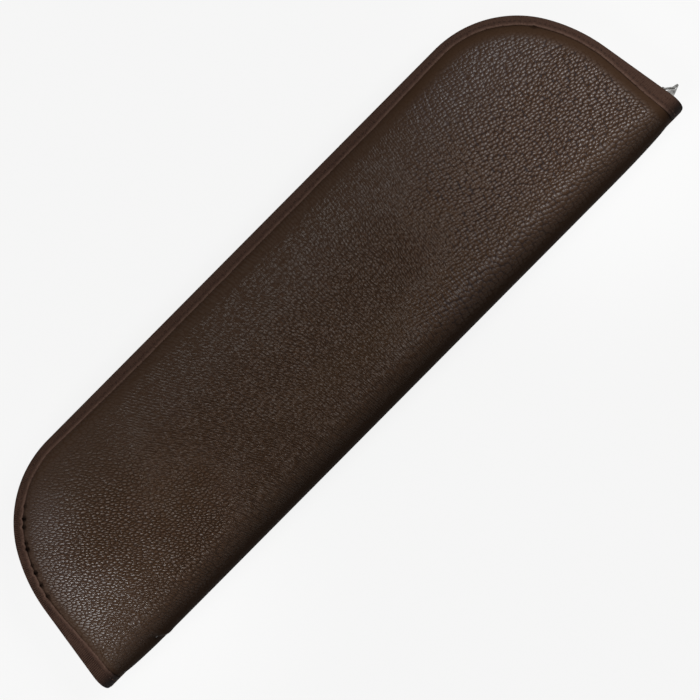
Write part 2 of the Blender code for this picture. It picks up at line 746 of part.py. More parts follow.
def build_zip(finishes):
    """The teeth on both tapes and their stops. The top row starts behind the closed slider."""
    track = ZipTrack()
    nose = track.from_spine(SLIDER_NOSE_Y)
    bottom_start = nose + STOP_GAP
    covered = math.ceil(SLIDER_LENGTH / TEETH_PITCH) + 0.5
    top_start = bottom_start + covered * TEETH_PITCH
    far_end = 2 * track.half - nose - STOP_LENGTH
    metal = finishes["metal"]
    teeth_row("bottom_zip_teeth", bottom_start, far_end, -1, metal)
    teeth_row("top_zip_teeth", top_start, far_end, 1, metal)
    stop_start = nose - STOP_GAP - STOP_LENGTH
    stop_low = STOP_TOP - STOP_HEIGHT
    track_block("bottom_end_stop", stop_start, STOP_LENGTH, STOP_THICK, stop_low, STOP_TOP, -1, metal)
    track_block("top_end_stop", stop_start, STOP_LENGTH, STOP_THICK, stop_low, STOP_TOP, 1, metal)
    far_start = far_end + STOP_GAP
    track_block("zip_far_stop", far_start, STOP_LENGTH, FAR_STOP_THICK, PARTING, BEAD_TOP, -1, metal)


def build_slider(finishes):
    """The slider with its bridge, link and pull tab."""
    frame = slider_frame()
    metal = finishes["metal"]
    zip_slider(frame, metal)
    slider_bridge(frame, metal)
    span = Vector((LINK_FOOT[0] - LINK_TOP[0], LINK_FOOT[1] - LINK_TOP[1], 0))
    link_pivot = pivot("link_axis", frame, *LINK_TOP)
    tab_pivot = pivot("tab_axis", link_pivot, span.x, span.y)
    link = wire_loop("pull_link", span, LINK_INNER_WIDTH, metal)
    link.parent = link_pivot
    pull_tab(tab_pivot, metal)


def main():
    """Builds the whole case."""
    clear_scene()
    finishes = {
        "leather": material("brown_leather", (0.045, 0.028, 0.021), 0.5),
        "foam": material("grey_foam", (0.25, 0.25, 0.25), 0.95),
        "lining": material("brown_plush", (0.07, 0.045, 0.035), 0.95),
        "binding": material("brown_grosgrain", (0.045, 0.024, 0.018), 0.85),
        "thread": material("dark_thread", (0.015, 0.009, 0.007), 0.7),
        "tape": material("brown_zip_tape", (0.03, 0.018, 0.014), 0.85),
        "metal": material("nickel", (0.62, 0.61, 0.58), 0.25, 1.0),
    }
    build_cover("bottom", -1, finishes)
    build_cover("top", 1, finishes)
    build_zip(finishes)
    build_slider(finishes)


main()
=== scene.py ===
"""Looks of a padded leather knife case with bound edges and a zip round three sides.

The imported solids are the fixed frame. Lengths in the classes are millimetres: x runs along the
spine from the middle of the case, y from the spine's outermost line to the long zipped side,
and heights are measured from the middle plane of the closed case.
"""

import logging
import math
from dataclasses import dataclass, field
from enum import Enum

import bmesh
import bpy
import numpy as np
from mathutils import Matrix, Vector, noise

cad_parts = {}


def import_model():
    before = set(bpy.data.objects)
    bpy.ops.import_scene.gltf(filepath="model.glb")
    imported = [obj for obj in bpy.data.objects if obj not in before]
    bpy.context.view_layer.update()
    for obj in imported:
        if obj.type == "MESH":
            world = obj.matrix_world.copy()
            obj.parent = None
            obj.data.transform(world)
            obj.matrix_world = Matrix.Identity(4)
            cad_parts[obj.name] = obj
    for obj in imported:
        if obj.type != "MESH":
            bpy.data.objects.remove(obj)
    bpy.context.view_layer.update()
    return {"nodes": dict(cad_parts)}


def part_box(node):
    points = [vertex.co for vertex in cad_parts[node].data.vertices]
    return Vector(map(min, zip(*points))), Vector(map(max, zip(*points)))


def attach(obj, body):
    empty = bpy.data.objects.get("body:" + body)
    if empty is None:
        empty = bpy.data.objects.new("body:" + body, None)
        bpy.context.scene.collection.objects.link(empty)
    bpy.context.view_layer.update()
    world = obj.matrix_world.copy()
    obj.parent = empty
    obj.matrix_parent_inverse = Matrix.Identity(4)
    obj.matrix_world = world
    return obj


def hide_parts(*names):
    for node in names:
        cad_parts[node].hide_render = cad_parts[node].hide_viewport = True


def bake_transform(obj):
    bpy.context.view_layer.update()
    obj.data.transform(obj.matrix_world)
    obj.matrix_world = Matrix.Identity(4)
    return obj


MM = 0.001
QUARTER_TURN = math.pi / 2
UV_PER_MM = 0.01

# The nodes that stay as the solids have them, and how their edges are eased.
METAL_NODES = (
    "zip_slider", "slider_bridge", "pull_link", "pull_tab", "zip_far_stop", "top_end_stop", "bottom_end_stop"
)
EASED_WIDTH = 0.12 * MM
EASED_FROM = math.radians(50)

# How each layer of the mesh noise is fainter and finer than the one before, and where a line of it is cut.
NOISE_FALL = 1.0
NOISE_FINER = 2.0
NOISE_CUT = 3.7

# Scale at which the Wave texture has one band in each unit of its coordinates.
WAVE_SCALE = 0.31416

# How far the deepest notch in a binding's inner edge goes, in millimetres.
DEEPEST_NOTCH = 0.65

LOG = logging.getLogger("knife_case")


class Cover(Enum):
    """The two covers of the case."""

    TOP = 1
    BOTTOM = -1

    @property
    def prefix(self) -> str:
        """Start of the names of the cover's nodes."""
        return self.name.lower()

    @property
    def body(self) -> str:
        """Name of the body that the cover's pieces ride on."""
        return f"{self.prefix}_cover"


def smooth(share: np.ndarray) -> np.ndarray:
    """Smooth step of a share that is clipped to 0 and 1."""
    share = np.clip(share, 0.0, 1.0)
    return share * share * (3 - 2 * share)


def wander(values: np.ndarray, seed: float, detail: int = 2) -> np.ndarray:
    """Smooth noise from about -1 to 1 along a line.

    Args:
        values: places along the line, one noise wave per unit.
        seed: picks one line of noise out of many.
        detail: number of finer layers added.

    Returns:
        One value for each place.
    """
    places = [Vector((float(value), seed, NOISE_CUT)) for value in values]
    return np.array([noise.fractal(place, NOISE_FALL, NOISE_FINER, detail) for place in places])


def lumps(
    x: np.ndarray, y: np.ndarray, size: tuple[float, float], seed: float, detail: int = 2
) -> np.ndarray:
    """Smooth noise from about -1 to 1 over a face.

    Args:
        x: first coordinates in millimetres, any shape.
        y: second coordinates, the same shape.
        size: length of one lump along each coordinate.
        seed: picks one pattern out of many.
        detail: number of finer layers added.

    Returns:
        An array of the same shape.
    """
    flat = zip((x / size[0]).ravel(), (y / size[1]).ravel())
    places = [Vector((float(first), float(second), seed)) for first, second in flat]
    made = [noise.fractal(place, NOISE_FALL, NOISE_FINER, detail) for place in places]
    return np.array(made).reshape(x.shape)


def bell(places: np.ndarray, middle: float, width: float) -> np.ndarray:
    """Bell curve that is 1 at its middle and about a third of that one width away."""
    return np.exp(-(((places - middle) / width) ** 2))


@dataclass(frozen=True)
class Layers:
    """Heights and thicknesses of the sheets where the binding holds them."""

    cover_height: float = 12.5
    zip_gap_half: float = 4.2
    binding: float = 0.6
    zip_tape: float = 0.5
    lining: float = 0.5
    leather: float = 0.9
    clearance: float = 0.25

    @property
    def lip_top(self) -> float:
        """Padding side of the binding's lower lip."""
        return self.zip_gap_half + self.binding

    @property
    def tape_low(self) -> float:
        """Zip side of the zip tape."""
        return self.lip_top + self.clearance

    @property
    def tape_top(self) -> float:
        """Padding side of the zip tape."""
        return self.tape_low + self.zip_tape

    @property
    def lining_low(self) -> float:
        """Zip side of the lining."""
        return self.tape_top + self.clearance

    @property
    def lining_top(self) -> float:
        """Padding side of the lining."""
        return self.lining_low + self.lining

    @property
    def leather_top(self) -> float:
        """Outside face of the leather."""
        return self.lining_top + self.clearance + self.leather

    @property
    def upper_lip_low(self) -> float:
        """Leather side of the binding's upper lip."""
        return self.leather_top + self.clearance

    @property
    def rim(self) -> float:
        """Outside face of the binding."""
        return self.upper_lip_low + self.binding


LAYERS = Layers()


@dataclass(frozen=True)
class CaseEdge:
    """The outer edge of a cover's binding, as a path from the spine's right end to its left end."""

    width: float = 95.0
    long_side_half: float = 117.35
    corner_radius: float = 50.0
    shoulder_radius: float = 75.0
    shoulder_angle: float = math.radians(30)
    lean: float = math.radians(9.1)
    drawn_in: float = 1.5
    end_tuck: float = 1.6

    @property
    def fold_centre(self) -> float:
        """Distance from the spine of the line that the edge turns round at the fold."""
        return self.drawn_in + LAYERS.rim

    @property
    def corner(self) -> tuple[float, float, float]:
        """Centre and radius of the corner's arc."""
        return self.long_side_half, self.width - self.corner_radius, self.corner_radius

    @property
    def shoulder(self) -> tuple[float, float, float]:
        """Centre and radius of the shoulder's arc.

        Returns:
            X, y and radius in millimetres.
        """
        x, y, radius = self.corner
        back = radius - self.shoulder_radius
        reach = (back * math.cos(self.shoulder_angle), back * math.sin(self.shoulder_angle))
        return x + reach[0], y + reach[1], self.shoulder_radius

    @property
    def end_top(self) -> tuple[float, float]:
        """Point where the leaning end meets the shoulder."""
        x, y, radius = self.shoulder
        return x + radius * math.cos(self.lean), y + radius * math.sin(self.lean)

    def end_x(self, y: np.ndarray | float) -> np.ndarray | float:
        """X of the leaning end's outer edge at a distance y from the spine."""
        return self.end_top[0] + (self.end_top[1] - y) * math.tan(self.lean)

    @property
    def spans(self) -> tuple[float, float, float, float, float]:
        """Lengths of the fold, end, shoulder, corner and half of the long side.

        Returns:
            The five lengths in millimetres.
        """
        return (
            LAYERS.rim * QUARTER_TURN,
            (self.end_top[1] - self.fold_centre) / math.cos(self.lean),
            self.shoulder_radius * (self.shoulder_angle - self.lean),
            self.corner_radius * (QUARTER_TURN - self.shoulder_angle),
            self.long_side_half,
        )

    @property
    def length(self) -> float:
        """Length of the whole edge, from the middle plane at one end of the spine to the other."""
        return 2 * sum(self.spans)

    def point(self, along: np.ndarray, inset: np.ndarray, height: np.ndarray) -> np.ndarray:
        """Points of a cover's edge.

        Args:
            along: distances along the edge.
            inset: distances in from the outer edge.
            height: heights above the middle plane, as they are on the flat part of the edge.

        Returns:
            An array of (x, y, height) rows, with the arguments' common shape in front.
        """
        along, inset, height = np.broadcast_arrays(
            np.asarray(along, float), np.asarray(inset, float), np.asarray(height, float)
        )
        hand = np.where(along > self.length / 2, -1.0, 1.0)
        travel = np.minimum(along, self.length - along)
        fold, end, shoulder, corner, _ = self.spans
        stops = np.cumsum([fold, end, shoulder, corner])
        turn = np.clip(travel / fold, 0, 1) * QUARTER_TURN
        y_fold = self.fold_centre - height * np.cos(turn)
        x_fold = self.end_x(y_fold) - inset / math.cos(self.lean) - self.end_tuck * (1 - np.sin(turn))
        y_end = self.fold_centre + (travel - stops[0]) * math.cos(self.lean)
        x_end = self.end_x(y_end) - inset / math.cos(self.lean)
        shoulder_turn = self.lean + (travel - stops[1]) / self.shoulder_radius
        corner_turn = self.shoulder_angle + (travel - stops[2]) / self.corner_radius
        x, y, z = x_fold, y_fold, height * np.sin(turn)
        on_end = travel > stops[0]
        x, y, z = np.where(on_end, x_end, x), np.where(on_end, y_end, y), np.where(on_end, height, z)
        for begin, arc, angle in (
            (stops[1], self.shoulder, shoulder_turn),
            (stops[2], self.corner, corner_turn),
        ):
            here = travel > begin
            x = np.where(here, arc[0] + (arc[2] - inset) * np.cos(angle), x)
            y = np.where(here, arc[1] + (arc[2] - inset) * np.sin(angle), y)
        straight = travel > stops[3]
        x = np.where(straight, self.long_side_half - (travel - stops[3]), x)
        y = np.where(straight, self.width - inset, y)
        return np.stack([hand * x, y, z], axis=-1)

    def inset_at(self, x: np.ndarray, y: np.ndarray) -> np.ndarray:
        """Distance inwards from the outer edge to plan points away from the fold.

        Args:
            x: first coordinates, any shape.
            y: distances from the spine, the same shape.

        Returns:
            One distance for each point.
        """
        nearest = np.full(x.shape, self.width)
        for angle in np.linspace(self.lean, QUARTER_TURN, 49):
            arc = self.corner if angle >= self.shoulder_angle else self.shoulder
            reach = (arc[0] - np.abs(x)) * math.cos(angle) + (arc[1] - y) * math.sin(angle) + arc[2]
            nearest = np.minimum(nearest, reach)
        return nearest

    def along_near(self, x: np.ndarray, y: np.ndarray) -> np.ndarray:
        """Distance along the edge of the place nearest to plan points beside a corner.

        Args:
            x: first coordinates, any shape.
            y: distances from the spine, the same shape.

        Returns:
            One distance for each point.
        """
        fold, end, shoulder, _, _ = self.spans
        turn = np.arctan2(y - self.corner[1], np.abs(x) - self.corner[0])
        shoulder_turn = np.arctan2(y - self.shoulder[1], np.abs(x) - self.shoulder[0])
        on_corner = fold + end + shoulder + self.corner_radius * (turn - self.shoulder_angle)
        on_shoulder = fold + end + self.shoulder_radius * (shoulder_turn - self.lean)
        travel = np.where(turn > self.shoulder_angle, on_corner, on_shoulder)
        return np.where(x < 0, self.length - travel, travel)

    def along_at(self, y: float) -> float:
        """Distance along the edge at which the right-hand end is y from the spine."""
        return self.spans[0] + (y - self.fold_centre) / math.cos(self.lean)


EDGE = CaseEdge()


@dataclass(frozen=True)
class BindingWidth:
    """How much of the binding shows beside the leather, wider towards the ends of the spine.

    The spine's width holds up to full_below from it and is gone at the fade. The long side's is
    gone blend_from past the corner's centre, and holds from blend_over nearer the middle.
    """

    corner: float = 4.2
    long_side: float = 5.3
    spine_end: float = 7.0
    fade: float = 46.0
    full_below: float = 8.0
    blend_from: float = 12.0
    blend_over: float = 60.0

    def at(self, x: np.ndarray, y: np.ndarray) -> np.ndarray:
        """Width at plan points near the edge.

        Args:
            x: first coordinates, any shape.
            y: distances from the spine, the same shape.

        Returns:
            One width for each point.
        """
        near_spine = smooth((self.fade - y) / (self.fade - self.full_below))
        on_long_side = smooth((EDGE.long_side_half + self.blend_from - np.abs(x)) / self.blend_over)
        width = self.corner + (self.long_side - self.corner) * on_long_side
        return width + (self.spine_end - self.corner) * near_spine


WIDTH = BindingWidth()


@dataclass(frozen=True)
class Skin:
    """A curved face of a cover: held at the rim, crowned in the middle, rolled over at the spine.

    The rim, crown, limit and parting are heights. The spine is how far in from the outermost line
    the roll starts, the roll how far it reaches, and the reach how far in the padding swells.
    """

    rim: float
    crown: float
    spine: float
    roll: float
    limit: float = 1000.0
    reach: float = 42.0
    power: float = 2.6
    shoulder: float = 0.0
    parting: float = 0.0
    quick_rise: float = 2.4

    def puff(self, inset: np.ndarray) -> np.ndarray:
        """How far the padding has swelled at a distance in from the binding, 0 to 1.

        Args:
            inset: distances in from the binding.

        Returns:
            One share for each distance.
        """
        share = np.clip(inset / self.reach, 0, 1)
        slow = 1 - (1 - share) ** self.power
        quick = 1 - np.exp(-np.maximum(inset, 0) / self.quick_rise)
        return (1 - self.shoulder) * slow + self.shoulder * quick


@dataclass(frozen=True)
class CoverGrid:
    """A grid over one cover, from the hinge line at row 0 to the long side at the last row.

    It is laid out flat: q is the distance up the cover, where the roll of the spine takes up
    the first part, and the rows and columns relax to an even spread inside the edge.
    """

    inset: float
    columns: int
    rows: int
    roll: float = 16.0
    settle: float = 20.0
    corner_at: float = math.radians(56)
    passes: int = 420
    over_relaxed: float = 1.93
    soft_limit: float = 0.12
    side_step: float = 0.25
    top_steps: int = 1600

    @property
    def corner_along(self) -> float:
        """Distance along the edge of the grid's right-hand corner."""
        return sum(EDGE.spans[:3]) + EDGE.corner_radius * (self.corner_at - EDGE.shoulder_angle)

    def plan_y(self, q: np.ndarray, top: np.ndarray | float) -> np.ndarray:
        """Distance from the spine past the roll, which ends at the distance top."""
        fade = 1 - smooth((q - self.roll) / self.settle)
        return q - (self.roll - top) * fade

    def side(self) -> np.ndarray:
        """Follows the right-hand side of the grid.

        Returns:
            (x, q) rows from the hinge line to the grid's corner.
        """
        low = np.arange(0, self.roll + self.settle, self.side_step)
        turn = np.clip(low / self.roll, 0, 1) * QUARTER_TURN
        y_fold = EDGE.fold_centre - LAYERS.leather_top * np.cos(turn)
        y = np.where(low < self.roll, y_fold, self.plan_y(low, EDGE.fold_centre))
        x = EDGE.end_x(y) - self.inset / math.cos(EDGE.lean) - EDGE.end_tuck * (1 - np.sin(turn))
        start = EDGE.along_at(self.roll + self.settle)
        places = np.arange(start, self.corner_along, self.side_step)
        upper = EDGE.point(places, self.inset, LAYERS.rim)[:, :2]
        return np.concatenate([np.stack([x, low], axis=-1), upper])

    def top(self) -> np.ndarray:
        """The far side as (x, q) rows, from the grid's right-hand corner to its left-hand one."""
        places = np.linspace(self.corner_along, EDGE.length - self.corner_along, self.top_steps)
        return EDGE.point(places, self.inset, LAYERS.rim)[:, :2]

    @staticmethod
    def spread(line: np.ndarray, count: int) -> np.ndarray:
        """Points of a line moved to even distances along it.

        Args:
            line: points in rows.
            count: number of points wanted.

        Returns:
            The moved points in rows.
        """
        steps = np.linalg.norm(np.diff(line, axis=0), axis=1)
        travel = np.concatenate([[0], np.cumsum(steps)])
        even = np.linspace(0, travel[-1], count)
        return np.stack([np.interp(even, travel, line[:, k]) for k in (0, 1)], axis=-1)

    def layout(self) -> tuple[np.ndarray, np.ndarray]:
        """Lays the grid out from its four sides, and relaxes it.

        Returns:
            The grid's x and q, as arrays of (rows + 1, columns + 1).
        """
        right = self.spread(self.side(), self.rows + 1)
        far = self.spread(self.top(), self.columns + 1)
        near_x = np.linspace(right[0, 0], -right[0, 0], self.columns + 1)
        near = np.stack([near_x, np.zeros_like(near_x)], axis=-1)
        u = np.linspace(0, 1, self.columns + 1)[None, :, None]
        v = np.linspace(0, 1, self.rows + 1)[:, None, None]
        left = right * np.array([-1, 1])
        right[-1], left[-1] = far[0], far[-1]
        grid = (1 - u) * right[:, None] + u * left[:, None] + (1 - v) * near[None] + v * far[None]
        grid -= (1 - u) * (1 - v) * near[0] + u * (1 - v) * near[-1]
        grid -= (1 - u) * v * far[0] + u * v * far[-1]
        self.relax(grid)
        return grid[..., 0], grid[..., 1]

    def relax(self, grid: np.ndarray) -> None:
        """Moves the inner points until each lies at the middle of its four neighbours.

        Args:
            grid: the points, which are moved in place.
        """
        row, column = np.indices(grid.shape[:2])
        inside = (row > 0) & (row < grid.shape[0] - 1) & (column > 0) & (column < grid.shape[1] - 1)
        middle = np.zeros_like(grid)
        for step in range(2 * self.passes):
            turn = inside & ((row + column) % 2 == step % 2)
            beside = grid[1:-1, :-2] + grid[1:-1, 2:]
            middle[1:-1, 1:-1] = 0.25 * (grid[:-2, 1:-1] + grid[2:, 1:-1] + beside)
            grid[turn] += self.over_relaxed * (middle[turn] - grid[turn])

    def edge_offset(self, x: np.ndarray, q: np.ndarray) -> np.ndarray:
        """Distance in from the outer edge at the grid's points.

        Args:
            x: the grid's x.
            q: the grid's distances up the cover.

        Returns:
            One distance for each point.
        """
        turn = np.clip(q / self.roll, 0, 1) * QUARTER_TURN
        y_fold = EDGE.fold_centre - LAYERS.leather_top * np.cos(turn)
        y_low = np.where(q < self.roll, y_fold, self.plan_y(q, EDGE.fold_centre))
        end = EDGE.end_x(y_low) - EDGE.end_tuck * (1 - np.sin(turn))
        near = np.minimum((end - np.abs(x)) * math.cos(EDGE.lean), EDGE.width - q)
        return np.where(q < self.roll + self.settle, near, EDGE.inset_at(x, q))

    def lift(self, skin: Skin, x: np.ndarray, q: np.ndarray) -> np.ndarray:
        """Lifts the flat grid onto a curved face.

        Args:
            skin: the curved face.
            x: the grid's x.
            q: the grid's distances up the cover.

        Returns:
            The points as (x, y, height) rows.
        """
        swell = skin.puff(self.edge_offset(x, q) - WIDTH.at(x, q))
        height = skin.rim + (skin.crown - skin.rim) * swell
        over = (skin.limit - height) / self.soft_limit
        height = skin.limit - self.soft_limit * np.logaddexp(0, over)
        start = (EDGE.fold_centre - skin.rim) * (1 - swell) + skin.spine * swell
        reach = skin.rim * (1 - swell) + skin.roll * swell
        turn = np.clip(q / self.roll, 0, 1) * QUARTER_TURN
        y = np.where(q < self.roll, start + reach * (1 - np.cos(turn)), self.plan_y(q, start + reach))
        rise = skin.parting + (height - skin.parting) * np.sin(turn)
        return np.stack([x, y, rise], axis=-1)


def to_world(points: np.ndarray, cover: Cover) -> np.ndarray:
    """World places of points of one cover.

    Args:
        points: (x, y, height) in millimetres, in any number of rows and columns.
        cover: which cover they lie on.

    Returns:
        Places in metres, with the same shape.
    """
    low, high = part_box("top_binding")
    middle_x = -(low.x + high.x) / 2 / MM
    placed = np.empty_like(points)
    placed[..., 0] = points[..., 0] - middle_x
    placed[..., 1] = points[..., 1] - EDGE.width / 2
    placed[..., 2] = LAYERS.cover_height + cover.value * points[..., 2]
    return placed * MM


def grid_normals(points: np.ndarray) -> np.ndarray:
    """Unit normals of a grid of points, along the cross product of its rows and columns.

    Args:
        points: (rows, columns, 3).

    Returns:
        One normal for each point.
    """
    made = np.cross(np.gradient(points, axis=0), np.gradient(points, axis=1))
    return made / np.maximum(np.linalg.norm(made, axis=-1, keepdims=True), 1e-12)


@dataclass
class MeshMaker:
    """Collects vertices, faces and face-corner coordinates, and makes one object of them."""

    verts: list[np.ndarray] = field(default_factory=list)
    faces: list[tuple[int, ...]] = field(default_factory=list)
    coords: list[np.ndarray] = field(default_factory=list)
    marks: dict[str, list[np.ndarray]] = field(default_factory=dict)

    @property
    def count(self) -> int:
        """Number of vertices so far."""
        return sum(len(v) for v in self.verts)

    def points(self, points: np.ndarray, uv: np.ndarray, **marks: np.ndarray | float) -> np.ndarray:
        """Adds vertices in rows and columns.

        Args:
            points: world places, (rows, columns, 3).
            uv: flat places in millimetres, (rows, columns, 2).
            **marks: values for the points by the name of the mesh attribute that keeps them.

        Returns:
            The vertex numbers, (rows, columns).
        """
        numbers = self.count + np.arange(points.shape[0] * points.shape[1]).reshape(points.shape[:2])
        self.verts.append(points.reshape(-1, 3))
        self.coords.append(uv.reshape(-1, 2))
        for name, values in marks.items():
            self.marks.setdefault(name, []).append(np.broadcast_to(values, points.shape[:2]).reshape(-1))
        return numbers

    def quads(self, numbers: np.ndarray) -> None:
        """Adds the quads between the rows and columns of vertex numbers."""
        corners = [numbers[:-1, :-1], numbers[1:, :-1], numbers[1:, 1:], numbers[:-1, 1:]]
        self.faces.extend(map(tuple, np.stack(corners, -1).reshape(-1, 4).tolist()))

    def tube(self, numbers: np.ndarray) -> None:
        """Adds the quads of a closed tube, whose rows are its rings, and a cap at each end.

        Args:
            numbers: vertex numbers, one row for each ring.
        """
        self.quads(np.concatenate([numbers, numbers[:, :1]], axis=1))
        self.faces.append(tuple(numbers[0].tolist()))
        self.faces.append(tuple(reversed(numbers[-1].tolist())))

    def shell(self, above: np.ndarray, below: np.ndarray) -> None:
        """Adds the quads of two grids that lie back to back, and joins their rims all the way round.

        Args:
            above: vertex numbers of the outer grid.
            below: vertex numbers of the inner grid, with the same shape.
        """
        rims = []
        for numbers in (above, below):
            self.quads(numbers)
            sides = [numbers[0, :-1], numbers[:-1, -1], numbers[-1, :0:-1], numbers[:0:-1, 0]]
            rim = np.concatenate(sides)
            rims.append(np.append(rim, rim[0]))
        self.quads(np.stack(rims))

    def build(self, name: str, material: bpy.types.Material, sharp: float | None = None) -> bpy.types.Object:
        """Makes the object.

        Args:
            name: name of the object and its mesh.
            material: finish of all its faces.
            sharp: angle in degrees past which edges stay sharp, or None for all smooth.

        Returns:
            The new object, linked to the scene.
        """
        mesh = bpy.data.meshes.new(name)
        mesh.from_pydata(np.concatenate(self.verts).tolist(), [], self.faces)
        coords = np.concatenate(self.coords) * UV_PER_MM
        corner_verts = np.empty(len(mesh.loops), np.int32)
        mesh.loops.foreach_get("vertex_index", corner_verts)
        layer = mesh.uv_layers.new(name="flat")
        layer.data.foreach_set("uv", coords[corner_verts].astype(np.float32).ravel())
        for key, values in self.marks.items():
            mark = mesh.attributes.new(key, "FLOAT", "POINT")
            mark.data.foreach_set("value", np.concatenate(values).astype(np.float32))
        turned = bmesh.new()
        turned.from_mesh(mesh)
        bmesh.ops.recalc_face_normals(turned, faces=turned.faces)
        turned.to_mesh(mesh)
        turned.free()
        mesh.shade_smooth()
        if sharp is not None:
            mesh.set_sharp_from_angle(angle=math.radians(sharp))
        mesh.materials.append(material)
        obj = bpy.data.objects.new(name, mesh)
        bpy.context.scene.collection.objects.link(obj)
        LOG.info("%s: %d vertices, %d faces", name, len(mesh.vertices), len(mesh.polygons))
        return obj


class NodeGraph:
    """Builds a material's nodes in short calls."""

    def __init__(self, name: str) -> None:
        """Starts a material with a Principled shader on its output.

        Args:
            name: name of the material.
        """
        self.material = bpy.data.materials.new(name)
        self.material.use_nodes = True
        self.nodes = self.material.node_tree.nodes
        self.links = self.material.node_tree.links
        self.shader = self.nodes["Principled BSDF"]

    def add(self, kind: str, inputs: dict | None = None, **settings: object) -> bpy.types.Node:
        """Adds a node.

        Args:
            kind: the node's type.
            inputs: values or output sockets by input name or number.
            **settings: properties of the node.

        Returns:
            The new node.
        """
        node = self.nodes.new(kind)
        for key, value in settings.items():
            setattr(node, key, value)
        for key, value in (inputs or {}).items():
            self.set(node.inputs[key], value)
        return node

    def set(self, socket: bpy.types.NodeSocket, value: object) -> None:
        """Links an output to a socket, or writes a plain value on it.

        Args:
            socket: the input.
            value: an output, a colour of three values, or a plain value.
        """
        if isinstance(value, bpy.types.NodeSocket):
            self.links.new(value, socket)
        elif isinstance(value, tuple) and len(value) == 3 and socket.type == "RGBA":
            socket.default_value = (*value, 1.0)
        else:
            socket.default_value = value

    def math(self, operation: str, *values: object, clamp: bool = False) -> bpy.types.NodeSocket:
        """Output of a Math node on these values."""
        node = self.add("ShaderNodeMath", dict(enumerate(values)), operation=operation, use_clamp=clamp)
        return node.outputs[0]

    def ramp(
        self, value: object, low: float, high: float, to: tuple[float, float] = (0.0, 1.0)
    ) -> bpy.types.NodeSocket:
        """Smooth step of a value.

        Args:
            value: the value, a number or an output.
            low: where the step starts, which may lie above its end.
            high: where it ends.
            to: what it gives at its start and at its end.

        Returns:
            The stepped value.
        """
        sockets = {"Value": value, "From Min": low, "From Max": high, "To Min": to[0], "To Max": to[1]}
        node = self.add("ShaderNodeMapRange", sockets, interpolation_type="SMOOTHSTEP")
        return node.outputs["Result"]

    def mix(self, share: object, first: object, second: object) -> bpy.types.NodeSocket:
        """Colour between two colours, the second of them where the share is 1."""
        node = self.add("ShaderNodeMix", {0: share, 6: first, 7: second}, data_type="RGBA")
        return node.outputs[2]

    def blend(self, share: object, first: object, second: object) -> bpy.types.NodeSocket:
        """Value between two values."""
        return self.add("ShaderNodeMix", {0: share, 2: first, 3: second}, data_type="FLOAT").outputs[0]

    def flat(self) -> bpy.types.NodeSocket:
        """The piece's flat coordinates, 1 unit for 100 mm."""
        return self.add("ShaderNodeUVMap", uv_map="flat").outputs["UV"]

    def place(self) -> bpy.types.NodeSocket:
        """Coordinates of the object itself, in metres."""
        return self.add("ShaderNodeTexCoord").outputs["Object"]

    def split(self, where: object) -> tuple[bpy.types.NodeSocket, bpy.types.NodeSocket]:
        """X and Y of some coordinates."""
        parts = self.add("ShaderNodeSeparateXYZ", {"Vector": where}).outputs
        return parts["X"], parts["Y"]

    def mark(self, name: str) -> bpy.types.NodeSocket:
        """A mesh attribute that the piece's class wrote."""
        return self.add("ShaderNodeAttribute", attribute_name=name).outputs["Fac"]

    def noise(
        self, where: object, scale: float, detail: float = 2.0, rough: float = 0.5
    ) -> bpy.types.NodeSocket:
        """Value of a noise texture."""
        sockets = {"Vector": where, "Scale": scale, "Detail": detail, "Roughness": rough}
        return self.add("ShaderNodeTexNoise", sockets).outputs["Fac"]

    def cells(self, feature: str, where: object, size: float, chance: float = 1.0) -> bpy.types.NodeSocket:
        """Distance in a flat Voronoi texture.

        Args:
            feature: what the distance is measured to, as the texture names it.
            where: the cells' coordinates.
            size: distance between cells in millimetres.
            chance: how irregular they are, from 0, in rows, to 1.

        Returns:
            The distance, in shares of the size.
        """
        sockets = {"Vector": where, "Scale": 1 / (size * UV_PER_MM), "Randomness": chance}
        node = self.add("ShaderNodeTexVoronoi", sockets, voronoi_dimensions="2D", feature=feature)
        return node.outputs["Distance"]

    def bands(self, where: object, pitch: float) -> bpy.types.NodeSocket:
        """Smooth bands across X, one for each pitch.

        Args:
            where: the bands' coordinates.
            pitch: distance between bands in millimetres.

        Returns:
            Height of the bands, 0 to 1.
        """
        sockets = {"Vector": where, "Scale": WAVE_SCALE / (pitch * UV_PER_MM), "Distortion": 0.0}
        settings = {"wave_type": "BANDS", "bands_direction": "X", "wave_profile": "SIN"}
        return self.add("ShaderNodeTexWave", sockets, **settings).outputs["Fac"]

    def vector_math(self, operation: str, inputs: dict) -> bpy.types.NodeSocket:
        """Output of a Vector Math node."""
        return self.add("ShaderNodeVectorMath", inputs, operation=operation).outputs[0]

    def warped(self, where: object, scale: float, amount: float) -> bpy.types.NodeSocket:
        """Coordinates shifted by smooth noise.

        Args:
            where: the coordinates.
            scale: number of noise waves in one unit of them.
            amount: how far the noise shifts them.

        Returns:
            The shifted coordinates.
        """
        sockets = {"Vector": where, "Scale": scale, "Detail": 1.0}
        shift = self.add("ShaderNodeTexNoise", sockets).outputs["Color"]
        centred = self.vector_math("SUBTRACT", {0: shift, 1: (0.5, 0.5, 0.5)})
        scaled = self.vector_math("SCALE", {0: centred, "Scale": amount})
        return self.vector_math("ADD", {0: where, 1: scaled})

    def stretched(self, where: object, scale: tuple[float, float, float]) -> bpy.types.NodeSocket:
        """Coordinates scaled on each axis."""
        return self.add("ShaderNodeMapping", {"Vector": where, "Scale": scale}).outputs["Vector"]

    def turned(
        self, where: object, angle: float, size: tuple[float, float, float]
    ) -> bpy.types.NodeSocket:
        """Coordinates in which a pattern lies at an angle and is stretched on its own axes."""
        sockets = {"Vector": where, "Rotation": (0.0, 0.0, angle), "Scale": size}
        return self.add("ShaderNodeMapping", sockets, vector_type="TEXTURE").outputs["Vector"]

